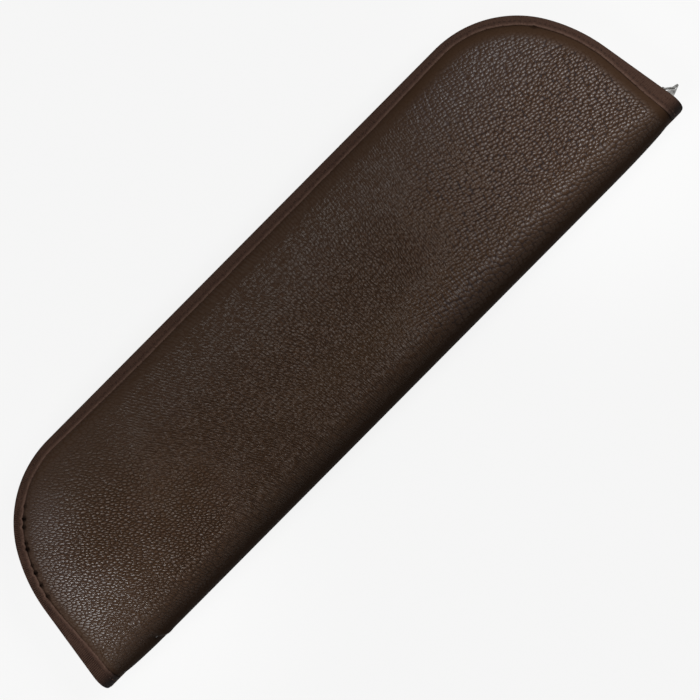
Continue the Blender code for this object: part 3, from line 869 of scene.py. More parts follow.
    def bump(self, height: object, distance: float) -> bpy.types.NodeSocket:
        """Normal from a height, whose value of 1 stands this many metres proud."""
        sockets = {"Height": height, "Distance": distance, "Strength": 1.0}
        return self.add("ShaderNodeBump", sockets).outputs["Normal"]

    def finish(self, **sockets: object) -> bpy.types.Material:
        """Writes the shader's sockets, with underscores for spaces in their names.

        Args:
            **sockets: values or outputs by socket name.

        Returns:
            The material.
        """
        for key, value in sockets.items():
            self.set(self.shader.inputs[key.replace("_", " ")], value)
        return self.material


@dataclass
class LeatherZones:
    """Where a point of the leather lies, as sockets of its material."""

    flat: bpy.types.NodeSocket
    x: bpy.types.NodeSocket
    y: bpy.types.NodeSocket
    from_spine: bpy.types.NodeSocket
    drift: bpy.types.NodeSocket
    right_end: bpy.types.NodeSocket
    left_end: bpy.types.NodeSocket
    stretched: bpy.types.NodeSocket
    groove: bpy.types.NodeSocket

    @classmethod
    def read(cls, graph: NodeGraph) -> "LeatherZones":
        """Reads the panel's flat coordinates and its marks.

        Args:
            graph: the leather's nodes.

        Returns:
            The sockets.
        """
        flat = graph.flat()
        x, y = graph.split(flat)
        from_spine = graph.math("ABSOLUTE", y)
        drift = graph.math("MULTIPLY", graph.math("SUBTRACT", graph.noise(flat, 3.0, 2.0), 0.5), 0.9)
        sooner = graph.math("ADD", drift, graph.ramp(from_spine, 0.42, 0.14, (0.0, 0.45)))
        # Mask of the painted shadow beside the binding, deepest where a stitch draws the tape in.
        pit = graph.mark("drawn_in")
        beside = graph.math("ABSOLUTE", graph.mark("beside"))
        beside = graph.ramp(graph.math("MULTIPLY_ADD", pit, -0.7, beside), 1.0, 0.3)
        drawn_in = graph.math("MULTIPLY_ADD", pit, 0.9, 0.12)
        return cls(
            flat=flat,
            x=x,
            y=y,
            from_spine=from_spine,
            drift=drift,
            right_end=graph.ramp(graph.math("ADD", x, sooner), 0.35, 1.05),
            left_end=graph.ramp(graph.math("SUBTRACT", drift, x), 1.05, 1.6),
            stretched=graph.mark("stretched"),
            groove=graph.math("MULTIPLY", beside, drawn_in),
        )


@dataclass(frozen=True)
class PebbledLeather:
    """Brown leather: round pebbles at the right end, fine streaks in the middle, small cells at the left.

    The pebble, cell, streak and fold are distances between neighbours in millimetres, the row
    angle turns the pebbles' rows, and the depth is the height of the relief in metres.
    """

    # Painted shade: the creases between the grain's tops are darkened in the colour.
    crease_shade: tuple[float, float, float] = (0.0200, 0.0092, 0.0047)
    body: tuple[float, float, float] = (0.0620, 0.0295, 0.0132)
    # Lighter tone: its random clouds are the leather's own, and it also paints a reflection as a streak near
    # the spine and a highlight at the left-hand end.
    worn: tuple[float, float, float] = (0.0630, 0.0310, 0.0118)
    shaded: tuple[float, float, float] = (0.0505, 0.0258, 0.0138)
    # Painted shade on the spine's roll.
    painted_spine_shade: tuple[float, float, float] = (0.0130, 0.0060, 0.0028)
    # Painted shadow in the gap between the binding and the leather.
    gap: tuple[float, float, float] = (0.0030, 0.0014, 0.0010)
    pebble: float = 1.65
    cell: float = 1.3
    streak: float = 0.95
    row_angle: float = 1.3
    fold: float = 7.5
    depth: float = 0.00042

    def pebbles(
        self, graph: NodeGraph, where: object, size: float, dome: float, chance: float
    ) -> bpy.types.NodeSocket:
        """Height of a layer of pebbles, 0 in the creases and 1 on the tops.

        Args:
            graph: the material's nodes.
            where: the pebbles' coordinates.
            size: distance between pebbles in millimetres.
            dome: how round their tops are, from 0, flat with narrow creases, to 1.
            chance: how irregular they are, from 0, in rows, to 1.

        Returns:
            The height.
        """
        edge = graph.cells("DISTANCE_TO_EDGE", where, size, chance)
        middle = graph.cells("F1", where, size, chance)
        fall = graph.math("MULTIPLY", graph.math("MULTIPLY", middle, middle), 1.9)
        round_top = graph.math("SUBTRACT", 1.0, fall, clamp=True)
        flat_top = graph.ramp(edge, 0.0, 0.20)
        return graph.blend(dome, flat_top, round_top)

    def grain(self, graph: NodeGraph, zones: LeatherZones) -> bpy.types.NodeSocket:
        """Height of the grain, about 0 in the creases and 1 on the tops.

        Args:
            graph: the material's nodes.
            zones: where the point lies.

        Returns:
            The height.
        """
        where = graph.warped(graph.warped(zones.flat, 5.0, 0.035), 40.0, 0.0035)
        rows = graph.turned(where, self.row_angle, (0.90, 1.10, 1.0))
        pebbles = self.pebbles(graph, rows, self.pebble, 0.8, 0.65)
        drawn = self.leaning(graph, zones, where, graph.ramp(zones.x, -1.5, 1.0, (-0.6, 0.2)))
        streaks = self.streaks(graph, drawn)
        cells = self.pebbles(graph, graph.stretched(drawn, (1.0, 0.80, 1.0)), self.cell, 0.45, 0.9)
        leftwards = graph.ramp(graph.math("ADD", zones.x, zones.drift), -0.6, -1.15)
        return graph.blend(zones.right_end, graph.blend(leftwards, streaks, cells), pebbles)

    def leaning(
        self, graph: NodeGraph, zones: LeatherZones, where: object, lean: object
    ) -> bpy.types.NodeSocket:
        """Coordinates in which lines across the case lean along it, by this share of their length."""
        slid = graph.math("SUBTRACT", graph.split(where)[0], graph.math("MULTIPLY", zones.y, lean))
        return graph.add("ShaderNodeCombineXYZ", {"X": slid, "Y": zones.y}).outputs[0]

    def streaks(self, graph: NodeGraph, where: object) -> bpy.types.NodeSocket:
        """Height of fine creases side by side, which wander and break off, over faint pebbles.

        Args:
            graph: the material's nodes.
            where: coordinates in which the creases run along Y.

        Returns:
            The height.
        """
        waves = graph.bands(graph.warped(where, 60.0, 0.007), self.streak)
        breaks = graph.noise(graph.stretched(where, (95.0, 42.0, 1.0)), 1.0, 1.0)
        waves = graph.math("MULTIPLY", waves, graph.ramp(breaks, 0.32, 0.60, (0.25, 1.0)))
        pebbles = self.pebbles(graph, graph.stretched(where, (1.0, 0.50, 1.0)), self.streak, 0.85, 0.75)
        return graph.math("MULTIPLY_ADD", waves, 0.55, graph.math("MULTIPLY", pebbles, 0.6))

    def ridges(self, graph: NodeGraph, where: object) -> bpy.types.NodeSocket:
        """Height of narrow ridges that wander, join and part.

        Args:
            graph: the material's nodes.
            where: coordinates in which the ridges run along Y.

        Returns:
            The height, up to 0.8.
        """
        waving = graph.noise(graph.stretched(where, (60.0, 12.0, 1.0)), 1.0, 1.0)
        from_crest = graph.math("ABSOLUTE", graph.math("SUBTRACT", waving, 0.5))
        return graph.ramp(from_crest, 0.15, 0.0, (0.0, 0.8))

    def pulled_ridges(self, graph: NodeGraph, zones: LeatherZones) -> bpy.types.NodeSocket:
        """Height of the ridges that cross each other near the spine, most of them left of the middle.

        Args:
            graph: the material's nodes.
            zones: where the point lies.

        Returns:
            The height.
        """
        slanted = [self.leaning(graph, zones, zones.flat, lean) for lean in (-0.4, 0.4)]
        made = graph.math("MAXIMUM", *(self.ridges(graph, where) for where in slanted))
        by_spine = graph.ramp(zones.from_spine, 0.30, 0.14)
        share = graph.math("MULTIPLY", by_spine, graph.ramp(zones.x, 0.1, -0.5, (0.1, 0.9)))
        return graph.math("MULTIPLY", made, share)

    def folds(self, graph: NodeGraph, zones: LeatherZones) -> bpy.types.NodeSocket:
        """Height of the leather between the long folds that cross the pebbles at the right-hand end.

        Args:
            graph: the material's nodes.
            zones: where the point lies.

        Returns:
            The height.
        """
        where = graph.warped(graph.turned(zones.flat, self.row_angle, (2.1, 1.0, 1.0)), 12.0, 0.03)
        made = graph.ramp(graph.cells("DISTANCE_TO_EDGE", where, self.fold), 0.0, 0.11)
        return graph.math("MULTIPLY", made, graph.math("MULTIPLY", zones.right_end, 0.42))

    def relief(
        self, graph: NodeGraph, zones: LeatherZones, grain: object, pores: object
    ) -> bpy.types.NodeSocket:
        """Height of the whole surface, in shares of the depth.

        Args:
            graph: the material's nodes.
            zones: where the point lies.
            grain: height of the grain.
            pores: height of the pores.

        Returns:
            The height.
        """
        ends = graph.math("MAXIMUM", zones.right_end, graph.math("MULTIPLY", zones.left_end, 1.9))
        strength = graph.math("MULTIPLY_ADD", ends, -0.35, 1.25)
        strength = graph.math("MULTIPLY", strength, graph.ramp(zones.from_spine, 0.5, 0.85, (1.0, 0.55)))
        made = graph.math("MULTIPLY", grain, strength)
        made = graph.math("ADD", made, self.folds(graph, zones))
        made = graph.math("ADD", made, self.pulled_ridges(graph, zones))
        made = graph.math("MULTIPLY_ADD", pores, 0.05, made)
        return graph.math("MULTIPLY", made, graph.ramp(zones.stretched, 0.0, 1.0, (1.0, 0.16)))

    def tone(self, graph: NodeGraph, zones: LeatherZones, grain: object) -> bpy.types.NodeSocket:
        """Colour: painted shade in the creases, along the spine, along the long side and beside the binding;
        lighter in random clouds; a painted reflection in a streak near the spine and a painted highlight at
        the left-hand end; painted shadow in the gap beside the binding.

        Args:
            graph: the material's nodes.
            zones: where the point lies.
            grain: height of the grain.

        Returns:
            The colour.
        """
        # Painted shade in the creases, fainter away from the right-hand end.
        least = graph.ramp(zones.right_end, 1.0, 0.0, (0.0, 0.45))
        raised = graph.math("MAXIMUM", graph.ramp(grain, 0.1, 0.7), least)
        made = graph.mix(raised, self.crease_shade, self.body)
        # Painted reflection: a lighter streak that runs near the spine, weaker to the left.
        line = graph.math("MULTIPLY_ADD", zones.x, 0.1, zones.from_spine)
        worn = graph.ramp(graph.math("ABSOLUTE", graph.math("SUBTRACT", line, 0.27)), 0.13, 0.0)
        worn = graph.math("MULTIPLY", worn, graph.ramp(zones.x, -0.5, -0.1, (0.1, 0.4)))
        cloud = graph.ramp(graph.noise(zones.flat, 3.2, 3.0), 0.5, 0.85, (0.0, 0.35))
        # Painted highlight at the left-hand end, near the spine.
        corner = graph.math("MULTIPLY", zones.left_end, graph.ramp(zones.from_spine, 0.5, 0.25, (0.0, 0.6)))
        worn = graph.math("MAXIMUM", graph.math("MAXIMUM", worn, cloud), corner)
        made = graph.mix(worn, made, self.worn)
        # Painted shade along the long side and in the smooth band beside the binding, lighter at the
        # left-hand end.
        shade = graph.ramp(zones.from_spine, 0.45, 0.82, (0.0, 0.85))
        beside = graph.math("MULTIPLY", zones.stretched, graph.ramp(zones.left_end, 0.0, 1.0, (1.0, 0.3)))
        made = graph.mix(graph.math("MAXIMUM", beside, shade), made, self.shaded)
        # Painted shade round the spine's roll.
        made = graph.mix(graph.ramp(zones.from_spine, 0.16, 0.05), made, self.painted_spine_shade)
        # Painted shadow in the gap beside the binding.
        return graph.mix(zones.groove, made, self.gap)

    def gloss(self, graph: NodeGraph, zones: LeatherZones, grain: object) -> bpy.types.NodeSocket:
        """Tint of the gloss: most on the grain's tops at the ends, little by the binding and at the spine.

        Args:
            graph: the material's nodes.
            zones: where the point lies.
            grain: height of the grain.

        Returns:
            The tint.
        """
        far_right = graph.math("MULTIPLY", zones.right_end, zones.right_end)
        ends = graph.math("MAXIMUM", far_right, zones.left_end)
        creased = graph.mix(ends, (0.38, 0.38, 0.38), (0.55, 0.59, 0.69))
        polished = graph.mix(ends, (0.80, 0.80, 0.78), (0.92, 0.96, 1.0))
        made = graph.mix(graph.ramp(grain, 0.3, 1.0), creased, polished)
        smoothed = graph.math("MULTIPLY", zones.stretched, zones.right_end)
        made = graph.mix(smoothed, made, (0.25, 0.24, 0.22))
        dull = graph.math("MAXIMUM", zones.groove, graph.ramp(zones.from_spine, 0.15, 0.05))
        return graph.mix(dull, made, (0.17, 0.14, 0.11))

    def build(self) -> bpy.types.Material:
        """Makes the material.

        Returns:
            The material.
        """
        graph = NodeGraph("pebbled_leather")
        zones = LeatherZones.read(graph)
        grain = self.grain(graph, zones)
        pores = graph.noise(zones.flat, 420.0, 3.0, 0.6)
        dull = graph.math("MULTIPLY_ADD", zones.stretched, 0.5, graph.ramp(grain, 0.1, 0.8, (0.5, 0.31)))
        dull = graph.math("ADD", dull, graph.ramp(zones.from_spine, 0.16, 0.06, (0.0, 0.3)))
        return graph.finish(
            Base_Color=self.tone(graph, zones, grain),
            Roughness=graph.math("ADD", dull, graph.ramp(pores, 0.3, 0.7, (-0.04, 0.05))),
            Specular_IOR_Level=0.5,
            Specular_Tint=self.gloss(graph, zones, grain),
            Normal=graph.bump(self.relief(graph, zones, grain, pores), self.depth),
        )


@dataclass(frozen=True)
class GrosgrainTape:
    """Reddish-brown ribbed tape: fine ribs across it, and a smooth selvedge along its inner edge.

    The pitch is the distance between ribs in millimetres, and the depth their height in metres.
    """

    valley: tuple[float, float, float] = (0.030, 0.0150, 0.0095)
    rib: tuple[float, float, float] = (0.0770, 0.0415, 0.0288)
    # Painted highlight: this light colour is laid on the rolled lip of the inner edge.
    selvedge: tuple[float, float, float] = (0.1360, 0.0800, 0.0590)
    faded: tuple[float, float, float] = (0.0470, 0.0240, 0.0165)
    rib_shadow: tuple[float, float, float] = (0.0150, 0.0075, 0.0055)
    speck: tuple[float, float, float] = (0.0260, 0.0090, 0.0070)
    # Painted shade where the tape turns round the fold at the spine's ends.
    painted_fold_shade: tuple[float, float, float] = (0.0070, 0.0038, 0.0028)
    pitch: float = 0.84879
    depth: float = 0.00018

    def build(self) -> bpy.types.Material:
        """Makes the material.

        Returns:
            The material.
        """
        graph = NodeGraph("grosgrain_tape")
        flat = graph.flat()
        selvedge = graph.mark("selvedge")
        along = graph.split(flat)[0]
        waves = graph.bands(graph.warped(flat, 60.0, 0.0022), self.pitch)
        threads = graph.noise(graph.stretched(flat, (900.0, 260.0, 1.0)), 1.0, 2.0)
        fuzz = graph.noise(flat, 240.0, 3.0, 0.6)
        patches = graph.ramp(graph.noise(flat, 14.0, 2.0), 0.35, 0.6, (0.45, 1.0))
        length = EDGE.length * UV_PER_MM
        clear = graph.math("MULTIPLY", graph.ramp(along, 0.62 * length, 0.86 * length, (0.3, 1.0)), patches)
        shadow = graph.math("MULTIPLY", graph.ramp(waves, 0.9, 0.1), clear)
        rib = graph.mix(shadow, self.rib, self.rib_shadow)
        tone = graph.mix(selvedge, rib, graph.mix(threads, self.rib, self.faded))
        # Painted highlight along the rolled inner lip.
        tone = graph.mix(graph.mark("lip"), tone, self.selvedge)
        tone = graph.mix(graph.ramp(fuzz, 0.35, 0.75, (0.0, 0.4)), tone, self.valley)
        tone = self.fade_and_shade(graph, tone, flat, along)
        flattened = graph.math("SUBTRACT", 1.0, graph.math("MULTIPLY", selvedge, 0.85))
        height = graph.math("MULTIPLY", graph.math("MULTIPLY", waves, clear), flattened)
        height = graph.math("ADD", height, graph.math("MULTIPLY", threads, 0.35))
        height = graph.math("ADD", height, graph.math("MULTIPLY", fuzz, 0.3))
        return graph.finish(
            Base_Color=tone,
            Roughness=graph.ramp(fuzz, 0.3, 0.7, (0.72, 0.9)),
            Specular_IOR_Level=0.12,
            Normal=graph.bump(height, self.depth),
        )

    def fade_and_shade(self, graph: NodeGraph, tone: object, flat: object, along: object) -> bpy.types.NodeSocket:
        """Fades the tape in patches, specks it, and paints shade on it round the fold at both ends.

        Args:
            graph: the material's nodes.
            tone: the clean tape's colour.
            flat: the tape's flat coordinates.
            along: distance along the tape.

        Returns:
            The colour.
        """
        worn = graph.noise(flat, 32.0, 3.0, 0.6)
        specks = graph.noise(graph.stretched(flat, (120.0, 85.0, 1.0)), 1.0, 2.0)
        rest = graph.math("SUBTRACT", EDGE.length * UV_PER_MM, along)
        from_end = graph.math("MINIMUM", along, rest)
        tone = graph.mix(graph.ramp(worn, 0.45, 0.75, (0.0, 0.55)), tone, self.faded)
        tone = graph.mix(graph.ramp(specks, 0.56, 0.70, (0.0, 0.65)), tone, self.speck)
        # Painted shade where the tape turns round the fold at each end of the spine.
        return graph.mix(graph.ramp(from_end, 0.13, 0.05, (0.0, 0.95)), tone, self.painted_fold_shade)


@dataclass(frozen=True)
class PlainCloth:
    """A woven or piled cloth of one dye, such as the lining, the zip tape or the thread.

    The weave is how many strands it has in 100 mm each way, and the depth their height in metres.
    """

    name: str
    dark: tuple[float, float, float]
    light: tuple[float, float, float]
    weave: tuple[float, float, float]
    depth: float
    sheen: float = 0.0

    def build(self) -> bpy.types.Material:
        """Makes the material.

        Returns:
            The material.
        """
        graph = NodeGraph(self.name)
        flat = graph.flat()
        strands = graph.noise(graph.stretched(flat, self.weave), 1.0, 3.0, 0.6)
        crossed = graph.noise(graph.stretched(flat, (self.weave[1], self.weave[0], 1.0)), 1.0, 3.0, 0.6)
        nap = graph.noise(flat, 9.0, 4.0, 0.6)
        height = graph.math("ADD", strands, crossed)
        tone = graph.mix(graph.ramp(height, 0.75, 1.25), self.dark, self.light)
        tone = graph.mix(graph.ramp(nap, 0.4, 0.7, (0.0, 0.45)), tone, self.dark)
        return graph.finish(
            Base_Color=tone,
            Roughness=graph.ramp(strands, 0.2, 0.8, (0.8, 0.95)),
            Specular_IOR_Level=0.25,
            Sheen_Weight=self.sheen,
            Normal=graph.bump(height, self.depth),
        )


@dataclass(frozen=True)
class FoamSheet:
    """Grey closed-cell foam with fine cells, whose depth is in metres."""

    wall: tuple[float, float, float] = (0.12, 0.12, 0.12)
    face: tuple[float, float, float] = (0.26, 0.26, 0.255)
    cells_per_metre: float = 1400.0
    depth: float = 0.0002

    def build(self) -> bpy.types.Material:
        """Makes the material.

        Returns:
            The material.
        """
        graph = NodeGraph("foam_sheet")
        sockets = {"Vector": graph.place(), "Scale": self.cells_per_metre}
        cells = graph.add("ShaderNodeTexVoronoi", sockets).outputs["Distance"]
        return graph.finish(
            Base_Color=graph.mix(graph.ramp(cells, 0.1, 0.7), self.wall, self.face),
            Roughness=graph.ramp(cells, 0, 1, (0.9, 1.0)),
            Normal=graph.bump(cells, self.depth),
        )


@dataclass(frozen=True)
class NickelPlate:
    """Nickel-plated metal, lightly scratched and duller in its worn places."""

    bright: tuple[float, float, float] = (0.18, 0.177, 0.171)
    worn: tuple[float, float, float] = (0.10, 0.098, 0.095)
    depth: float = 0.00001

    def build(self) -> bpy.types.Material:
        """Makes the material.

        Returns:
            The material.
        """
        graph = NodeGraph("nickel_plate")
        place = graph.place()
        wear = graph.noise(place, 500.0, 4.0, 0.6)
        lines = graph.noise(graph.stretched(place, (300.0, 300.0, 4000.0)), 1.0, 2.0)
        dull = graph.ramp(wear, 0.3, 0.8, (0.42, 0.56))
        return graph.finish(
            Base_Color=graph.mix(graph.ramp(wear, 0.45, 0.75), self.bright, self.worn),
            Metallic=1.0,
            Roughness=graph.math("ADD", dull, graph.math("MULTIPLY", lines, 0.08)),
            Normal=graph.bump(lines, self.depth),
        )


@dataclass
class Finishes:
    """One material for each finish of the case."""

    leather: bpy.types.Material
    binding: bpy.types.Material
    thread: bpy.types.Material
    lining: bpy.types.Material
    tape: bpy.types.Material
    foam: bpy.types.Material
    metal: bpy.types.Material

    @classmethod
    def make(cls) -> "Finishes":
        """Builds all the materials.

        Returns:
            The materials.
        """
        thread = PlainCloth(
            name="dark_thread", dark=(0.036, 0.0185, 0.0125), light=(0.060, 0.0320, 0.0220),
            weave=(90, 900, 1), depth=0.00004,
        )
        plush = PlainCloth(
            name="brown_plush", dark=(0.028, 0.016, 0.011), light=(0.075, 0.046, 0.034),
            weave=(420, 380, 1), depth=0.00022, sheen=0.35,
        )
        tape = PlainCloth(
            name="woven_zip_tape", dark=(0.012, 0.007, 0.005), light=(0.034, 0.021, 0.016),
            weave=(150, 520, 1), depth=0.00006,
        )
        return cls(
            leather=PebbledLeather().build(),
            binding=GrosgrainTape().build(),
            thread=thread.build(),
            lining=plush.build(),
            tape=tape.build(),
            foam=FoamSheet().build(),
            metal=NickelPlate().build(),
        )


@dataclass
class LeatherPanel:
    """The outer leather: one panel over the top cover, round the spine and under the bottom cover.

    The dent is at x dent_at, dent_up up the cover. bend_half, meant for the bend of the opening case, is not
    used.
    """

    inset: float = 1.2
    thickness: float = 0.9
    crown: float = 12.5
    resting_flat: float = 0.5
    roll: float = 16.0
    shoulder: float = 0.45
    dent_at: float = -144.0
    dent_up: float = 4.0
    dent_depth: float = 1.2
    bend_half: float = 6.4
    columns: int = 330
    rows: int = 112
    grid: CoverGrid = field(init=False)

    def __post_init__(self) -> None:
        """Lays out the grid."""
        self.grid = CoverGrid(self.inset, self.columns, self.rows)

    def skin(self, cover: Cover) -> Skin:
        """The outside face on one cover. The bottom one is pressed flat where it rests."""
        crown = self.crown if cover is Cover.TOP else self.crown + self.resting_flat
        return Skin(LAYERS.leather_top, crown, 0.0, self.roll, self.crown + 0.02, shoulder=self.shoulder)

    def relief(self, x: np.ndarray, q: np.ndarray, cover: Cover) -> np.ndarray:
        """How far hand-made unevenness moves the face out.

        Args:
            x: the grid's x.
            q: the grid's distances up the cover.
            cover: which cover it is.

        Returns:
            Millimetres outwards, one value for each point.
        """
        offset = self.grid.edge_offset(x, q) - WIDTH.at(x, q)
        uneven = 0.22 * lumps(x, q, (38.0, 26.0), 1.3 * cover.value) + 0.09 * lumps(x, q, (13.0, 9.0), 5.1)
        puckers = wander(x.ravel() / 9.0, 2.2).reshape(x.shape) * np.exp(-np.maximum(offset, 0) / 3.0)
        pits = 0.5 * self.drawn_in(x, q, cover) * bell(offset, 0.0, 1.3)
        shift = (uneven * smooth(offset / 14.0) + 0.10 * puckers) * smooth(q / 10.0)
        shift = shift + self.wrinkles(x, q) - pits
        if cover is Cover.BOTTOM:
            return np.minimum(shift * 0.3, 0.0)
        return shift - self.dent(x, q)

    def wrinkles(self, x: np.ndarray, q: np.ndarray) -> np.ndarray:
        """Fine wrinkles that run off the spine, most at its left-hand half.

        Args:
            x: the grid's x.
            q: the grid's distances up the cover.

        Returns:
            Millimetres outwards, one value for each point.
        """
        near_spine = smooth((30.0 - q) / 20.0) * smooth((q - 3.0) / 8.0)
        pulled = bell(x, -88.0, 46.0) + 0.45 * bell(x, 100.0, 50.0)
        return 0.10 * lumps(x + 0.25 * q, q, (3.2, 22.0), 9.4) * near_spine * pulled

    def dent(self, x: np.ndarray, q: np.ndarray) -> np.ndarray:
        """Depth of the short dent across the spine near its left-hand end, with a bank beside it.

        Args:
            x: the grid's x.
            q: the grid's distances up the cover.

        Returns:
            Millimetres inwards, one value for each point.
        """
        from_dent = x - self.dent_at + 0.5 * (q - self.dent_up)
        across = bell(from_dent, 0.0, 1.7) - 0.45 * bell(from_dent, 3.2, 1.8)
        return self.dent_depth * across * bell(q, self.dent_up, 4.0)

    def marks(self, x: np.ndarray, q: np.ndarray, cover: Cover) -> tuple[np.ndarray, np.ndarray, np.ndarray]:
        """Values for the finish.

        Args:
            x: the grid's x.
            q: the grid's distances up the cover.
            cover: which cover it is.

        Returns:
            Where the leather is stretched smooth, its distance in millimetres from the binding, and
            how much a stitch has drawn the binding in there.
        """
        offset = self.grid.edge_offset(x, q) - WIDTH.at(x, q)
        reach = 2.2 + 2.3 * smooth((x + 155.0) / 45.0)
        by_binding = 1 - smooth((offset - 0.45 * reach) / reach)
        by_spine = 1 - smooth((q - 5.0) / 5.0)
        return np.maximum(by_binding, by_spine), offset, self.drawn_in(x, q, cover)

    def drawn_in(self, x: np.ndarray, q: np.ndarray, cover: Cover) -> np.ndarray:
        """How much a stitch has drawn the binding away from the leather.

        Args:
            x: the grid's x.
            q: the grid's distances up the cover.
            cover: which cover it is.

        Returns:
            Shares from 0 to 1, one for each point.
        """
        along = EDGE.along_near(x, q)
        made = np.zeros_like(x)
        for place, depth in EdgeBindings.notches(cover):
            made = np.maximum(made, depth / DEEPEST_NOTCH * bell(along, place, 1.5))
        return made * (q > EDGE.fold_centre + 20.0)

    def build(self, finishes: Finishes) -> bpy.types.Object:
        """Makes the panel as one closed sheet that bends at the spine.

        Args:
            finishes: the case's materials.

        Returns:
            The panel.
        """
        x, q = self.grid.layout()
        outer, inner, flats = [], [], []
        marks: dict[str, list[np.ndarray]] = {"stretched": [], "beside": [], "drawn_in": []}
        for cover in (Cover.BOTTOM, Cover.TOP):
            points = self.grid.lift(self.skin(cover), x, q)
            points = points + grid_normals(points) * self.relief(x, q, cover)[..., None]
            points[0, :, 2] = 0.0
            under = points - grid_normals(points) * self.thickness
            under[0, :, 2] = 0.0
            flat = np.stack([x, cover.value * q], axis=-1)
            order = slice(None) if cover is Cover.TOP else slice(None, 0, -1)
            outer.append(to_world(points, cover)[order])
            inner.append(to_world(under, cover)[order])
            flats.append(flat[order])
            for key, values in zip(marks, self.marks(x, q, cover)):
                marks[key].append(values[order])
        maker = MeshMaker()
        flat = np.concatenate(flats)
        joined = {key: np.concatenate(values) for key, values in marks.items()}
        above = maker.points(np.concatenate(outer), flat, **joined)
        maker.shell(above, maker.points(np.concatenate(inner), flat, **joined))
        panel = maker.build("leather_panel", finishes.leather)
        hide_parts("top_leather", "bottom_leather")
        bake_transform(panel)
        return panel


@dataclass
class Linings:
    """The plush lining of each cover, which turns over the padded spine as far as the hinge line.

    Its rows across the ridge start ridge_from in from the spine's outermost line, and its front
    stays above_middle clear of the middle plane.
    """

    inset: float = 1.2
    thickness: float = 0.5
    crown: float = 5.8
    spine: float = 5.4
    roll: float = 7.0
    parting: float = 0.7
    nap: float = 0.06
    above_middle: float = 0.13
    ridge_from: float = 1.3
    ridge_rows: int = 6
    columns: int = 190
    rows: int = 66

    def build(self, cover: Cover, finishes: Finishes) -> bpy.types.Object:
        """Makes the lining of one cover.

        Args:
            cover: which cover it is.
            finishes: the case's materials.

        Returns:
            The lining.
        """
        grid = CoverGrid(self.inset, self.columns, self.rows)
        x, q = grid.layout()
        skin = Skin(LAYERS.lining_top, self.crown, self.spine, self.roll, parting=self.parting)
        points = grid.lift(skin, x, q)
        ridge = self.over_spine(points[0])
        back = np.concatenate([ridge, points])
        nap = self.nap * lumps(back[..., 0], back[..., 1] + back[..., 2], (7.0, 7.0), 4.4 * cover.value)
        front = back - grid_normals(back) * (self.thickness + nap)[..., None]
        front[..., 2] = np.maximum(front[..., 2], self.above_middle)
        lengths = np.linalg.norm(np.diff(back.mean(axis=1), axis=0), axis=1)
        travel = np.concatenate([[0], np.cumsum(lengths)])
        flat = np.stack([back[..., 0], np.broadcast_to(travel[:, None], back.shape[:2])], axis=-1)
        maker = MeshMaker()
        above = maker.points(to_world(back, cover), flat)
        maker.shell(above, maker.points(to_world(front, cover), flat))
        piece = maker.build(f"{cover.prefix}_plush_lining", finishes.lining)
        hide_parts(f"{cover.prefix}_lining")
        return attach(piece, cover.body)

    def over_spine(self, first: np.ndarray) -> np.ndarray:
        """Rows across the top of the ridge, from near the hinge line to the lining's first row.

        Args:
            first: the lining's first row.

        Returns:
            The rows before it.
        """
        rows = []
        for share in np.linspace(0, 1, self.ridge_rows + 1)[:-1]:
            row = first.copy()
            row[:, 1] = self.ridge_from + (first[:, 1] - self.ridge_from) * share
            rows.append(row)
        return np.array(rows)


@dataclass
class FoamPads:
    """The foam sheet that pads each cover, between the leather and the lining.

    Its edge lies from_binding in from the binding, its thickness is never under the least, and
    at the middle plane it keeps spine_clear away from the spine's outermost line.
    """

    binding: float = 4.7
    from_binding: float = 2.5
    clearance: float = 0.25
    lining_crown: float = 5.8
    lining_spine: float = 5.4
    lining_roll: float = 7.0
    parting: float = 0.75
    least: float = 0.05
    spine_clear: float = 2.6
    columns: int = 120
    rows: int = 44

    def build(self, cover: Cover, leather: LeatherPanel, finishes: Finishes) -> bpy.types.Object:
        """Makes the pad of one cover, between the leather's inside and the lining's back.

        Args:
            cover: which cover it is.
            leather: the outer leather.
            finishes: the case's materials.

        Returns:
            The pad.
        """
        grid = CoverGrid(self.binding + self.from_binding, self.columns, self.rows)
        x, q = grid.layout()
        gap = leather.thickness + self.clearance
        outside = leather.skin(cover)
        outer_skin = Skin(
            outside.rim - gap, outside.crown - gap, outside.spine + gap, outside.roll - gap,
            outside.limit - gap, parting=self.parting,
        )
        inner_skin = Skin(
            LAYERS.lining_top + self.clearance, self.lining_crown + self.clearance,
            self.lining_spine - self.clearance, self.lining_roll + self.clearance, parting=self.parting,
        )
        outer = grid.lift(outer_skin, x, q)
        inner = grid.lift(inner_skin, x, q)
        outer[..., 2] = np.maximum(outer[..., 2], inner[..., 2] + self.least)
        clear = np.maximum(outer[..., 1], self.spine_clear * (1 - q / grid.roll))
        outer[..., 1] = np.where(q < grid.roll, clear, outer[..., 1])
        flat = np.stack([x, q], axis=-1)
        maker = MeshMaker()
        above = maker.points(to_world(outer, cover), flat)
        maker.shell(above, maker.points(to_world(inner, cover), flat))
        pad = maker.build(f"{cover.prefix}_foam_pad", finishes.foam)
        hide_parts(f"{cover.prefix}_foam")
        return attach(pad, cover.body)


